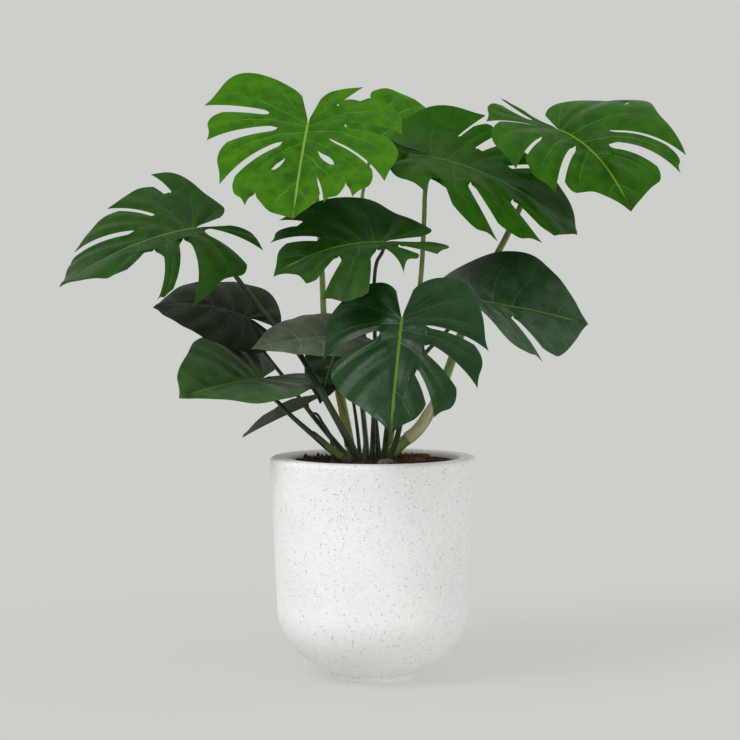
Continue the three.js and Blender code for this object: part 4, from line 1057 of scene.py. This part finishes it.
def stalk(leaf, stem_rings):
    """A stalk's skin; stem rings are thin swellings at given heights along it."""
    path, length = stalk_path(leaf)
    t = np.linspace(0, 1, len(path))
    radii = stalk_radius(leaf, t)
    for ring in stem_rings:
        radii = radii * (1 + STEM_RING_HEIGHT * np.exp(-((t * length - ring) / STEM_RING_WIDTH) ** 2))
    turn = np.linspace(0, 2 * np.pi, STALK_SIDES, endpoint=False)
    flute = 1 + 0.035 * np.cos(turn * 2 + 0.6) + 0.02 * np.cos(turn * 5)
    rings = sweep(path, radii[:, None] * flute, STALK_SIDES, AWAY)
    points, faces = skin(rings, path[0], path[-1])
    run = np.append(np.repeat(t, STALK_SIDES), [0, 1])
    around = np.append(np.tile(np.minimum(turn, 2 * np.pi - turn), len(t)), [0, 0])
    return points, faces, np.stack([around * radii[0], run * length], -1), dict(run=run)


# %% [markdown]
# Stalks are smooth and slightly glossy, with fine lengthwise streaks. The young ones are light green; the
# old ones are dark, browner towards the blade, and paler where the sheath opens at the foot.

# %% Stalk finish
STALK_TONES = {
    "young": [(104, 134, 60), (148, 172, 96), (120, 146, 70)],
    "old": [(26, 40, 16), (56, 74, 36), (58, 50, 30)],
    "stem": [(104, 132, 58), (150, 170, 94), (112, 138, 64)],
}
STALK_KINDS = {"top_left": "young", "top_right": "stem", "back": "young", "upper_right": "stem"}
STALK_SLOTS = {"top_left": "stalk_young", "top_right": "stalk_young", "back": "stalk_young"}


def stalk_finish(kind):
    """Two greens in lengthwise streaks, drifting to a third tone towards the blade."""
    finish = Finish(f"stalk_{kind}", Specular_IOR_Level=0.45)
    dark, light, upper = (paint(*steps) for steps in STALK_TONES[kind])
    streak = finish.noise(finish.place((1.0, 0.045, 1.0), flat=True), 700.0, 4.0)
    cloud = finish.noise(finish.place(), 40.0, 3.0)
    tone = finish.blend(streak.rise(0.35, 0.7) * 0.6 + cloud.rise(0.35, 0.7) * 0.4, dark, light)
    tone = finish.blend(finish.mark("run").rise(0.55, 1.0) * 0.6, tone, upper)
    finish.feed(Base_Color=tone)
    finish.feed(Roughness=cloud * 0.15 + 0.34)
    finish.relief(streak, 0.0003)
    return finish


stalk_finishes = {kind: stalk_finish(kind) for kind in STALK_TONES}
for name, leaf in LEAVES.items():
    kind = STALK_KINDS.get(name, "old")
    points, faces, pattern, marks = stalk(leaf, STEM_RINGS if name == "top_right" else ())
    slot = STALK_SLOTS.get(name, "stalk_old")
    make_piece(f"stem_{name}", points, faces, stalk_finishes[kind], [f"stalk_{name}"], pattern, marks)
print("stalks:", len(LEAVES))

# %% [markdown]
# ## Sheaths and young leaves
# A leaf grows out of the sheath of the one before it, and the sheath dries up around the stalk. Each is a
# thin sheet wrapped round one side of a stalk, wide below and drawn to a point above. Between the stalks
# stand two young leaves that are still rolled up.

# %% Sheaths
SHEATHS = {
    "top_right": dict(start=0.13, end=0.24, facing=(-0.3, -1, 0.5), spread=80, tone="dry"),
    "top_left": dict(start=0.09, end=0.26, facing=(-0.8, -0.6, 0), spread=70, tone="yellow"),
    "low_left": dict(start=0.17, end=0.4, facing=(0.2, -0.6, 0.8), spread=85, tone="green"),
}
SHEATH_TONES = {
    "dry": [(196, 186, 138), (226, 220, 178)],
    "yellow": [(150, 142, 52), (196, 186, 92)],
    "green": [(54, 78, 30), (92, 116, 50)],
}
SHEATH_THICKNESS, SHEATH_CLEARANCE = 0.6, 0.6
SHEATH_ROWS, SHEATH_COLUMNS, SHEATH_SAMPLES = 60, 24, 600
SHEATH_LOOSENESS, SHEATH_NARROWING = 1.05, 0.85
SHEATH_RIB, SHEATH_RIB_PACE, SHEATH_FLARE = 0.18, 14, 0.5


def sheath(leaf, start, end, facing, spread):
    """A sheet round one side of a stalk: its angle narrows upwards and its ribs stand out a little."""
    path, length = stalk_path(leaf, SHEATH_SAMPLES)
    t = np.linspace(start, end, SHEATH_ROWS)
    pick = np.round(t * (len(path) - 1)).astype(int)
    centre, axis = path[pick], unit(np.gradient(path, axis=0))[pick]
    face = unit(np.array(facing) - axis * (axis @ np.array(facing, float))[:, None])
    side = np.cross(axis, face)
    along = np.linspace(0, 1, SHEATH_ROWS)[:, None]
    across = np.linspace(-1, 1, SHEATH_COLUMNS)[None, :]
    turn = np.radians(spread) * (1 - SHEATH_NARROWING * along ** 2) * across
    normal = face[:, None] * np.cos(turn)[..., None] + side[:, None] * np.sin(turn)[..., None]
    ribs = SHEATH_RIB * np.cos(turn * SHEATH_RIB_PACE) + SHEATH_FLARE * along * np.abs(across) ** 3
    inside = stalk_radius(leaf, t)[:, None]
    radius = inside * SHEATH_LOOSENESS + SHEATH_CLEARANCE + SHEATH_THICKNESS / 2 + ribs
    points = centre[:, None] + normal * radius[..., None]
    faces = grid_faces(SHEATH_ROWS, SHEATH_COLUMNS)
    solid, faces = sheet_solid(points.reshape(-1, 3), normal.reshape(-1, 3), faces, SHEATH_THICKNESS)
    pattern = np.stack([turn * inside, along * length * (end - start) + 0 * turn], -1)
    return solid, faces, np.tile(pattern.reshape(-1, 2), (2, 1))


def sheath_finish(tone):
    """Papery, with lengthwise ribs and darker blotches."""
    finish = Finish(f"sheath_{tone}", Roughness=0.8, Specular_IOR_Level=0.3)
    dark, light = (paint(*steps) for steps in SHEATH_TONES[tone])
    ribs = finish.noise(finish.place((1.0, 0.04, 1.0), flat=True), 900.0, 3.0)
    blotch = finish.noise(finish.place(), 90.0, 4.0)
    finish.feed(Base_Color=finish.blend(ribs.rise(0.3, 0.7) * 0.6 + blotch.rise(0.4, 0.7) * 0.4, dark, light))
    finish.relief(ribs, 0.0006)
    return finish


for name, facts in SHEATHS.items():
    tone = facts.pop("tone")
    points, faces, pattern = sheath(LEAVES[name], **facts)
    finish = sheath_finish(tone)
    make_piece(f"sheath_sheet_{name}", points, faces, finish, [f"sheath_{name}"], pattern)
print("sheaths:", ", ".join(SHEATHS))

# %% Rolled young leaves
SPEARS = {
    "tall": dict(foot=(8, -12, 334), top=(5, -20, 404), radius=5.5),
    "short": dict(foot=(-14, -64, 333), top=(-13, -66, 386), radius=4.5),
}
SPEAR_RINGS, SPEAR_SIDES = 70, 28
SPEAR_BOW, SPEAR_TURNS = 2.0, 0.8
SPEAR_TAPER, SPEAR_TAPER_SHARPNESS, SPEAR_STEP = 0.88, 1.6, 0.1


def spear(foot, top, radius):
    """A rolled leaf: a tapering bar whose radius steps in along a spiral, where the roll's edge lies."""
    low, high = np.array(foot, float), np.array(top, float)
    middle = (low + high) / 2 - (0, 0, SPEAR_BOW)
    knots = np.stack([low - (0, 0, PLANTING_DEPTH / 2), low, middle, high])
    path, length = smooth_path(knots, SPEAR_RINGS)
    t = np.linspace(0, 1, SPEAR_RINGS)[:, None]
    turn = np.linspace(0, 2 * np.pi, SPEAR_SIDES, endpoint=False)[None]
    roll = (turn / (2 * np.pi) + t * SPEAR_TURNS) % 1.0
    radii = radius * (1 - SPEAR_TAPER * t ** SPEAR_TAPER_SHARPNESS) * (1 - SPEAR_STEP + SPEAR_STEP * roll)
    rings = sweep(path, radii, SPEAR_SIDES, AWAY)
    points, faces = skin(rings, path[0], path[-1])
    pattern = np.stack([turn * radius + 0 * t, t * length + 0 * turn], -1).reshape(-1, 2)
    return points, faces, np.append(pattern, [[0, 0], [0, length]], axis=0)


def spear_finish():
    """Dull dark green to brown, streaked lengthwise."""
    finish = Finish("rolled_leaf", Roughness=0.5)
    streak = finish.noise(finish.place((1.0, 0.06, 1.0), flat=True), 600.0, 4.0)
    finish.feed(Base_Color=finish.blend(streak.rise(0.3, 0.7), paint(20, 26, 16), paint(52, 56, 34)))
    finish.relief(streak, 0.0004)
    return finish


rolled = spear_finish()
for name, facts in SPEARS.items():
    points, faces, pattern = spear(**facts)
    make_piece(f"rolled_leaf_{name}", points, faces, rolled, [f"spear_{name}"], pattern)
print("rolled leaves:", ", ".join(SPEARS))

# %% [markdown]
# ## The floor
# A very large pale floor, the same shade as the surround once it is lit, so that only the soft shadow
# round the planter's foot shows where it is. Most of its light is its own glow, like that of a product
# studio's lit table, which keeps the shadows light and lifts the underside of the planter.

# %% Floor
FLOOR_SIZE = 60.0
FLOOR_SHADE, FLOOR_GLOW = 0.15, 0.443

floor_mesh = bpy.data.meshes.new("floor")
corners = np.array([(-1, -1, 0), (1, -1, 0), (1, 1, 0), (-1, 1, 0)]) * FLOOR_SIZE
floor_mesh.from_pydata(corners.tolist(), [], [(0, 1, 2, 3)])
floor_finish = Finish(
    "floor", Roughness=0.95, Specular_IOR_Level=0.0, Base_Color=pale(FLOOR_SHADE),
    Emission_Color=pale(1.0), Emission_Strength=FLOOR_GLOW)
floor_mesh.materials.append(floor_finish.material)
floor = bpy.data.objects.new("floor", floor_mesh)
bpy.context.scene.collection.objects.link(floor)
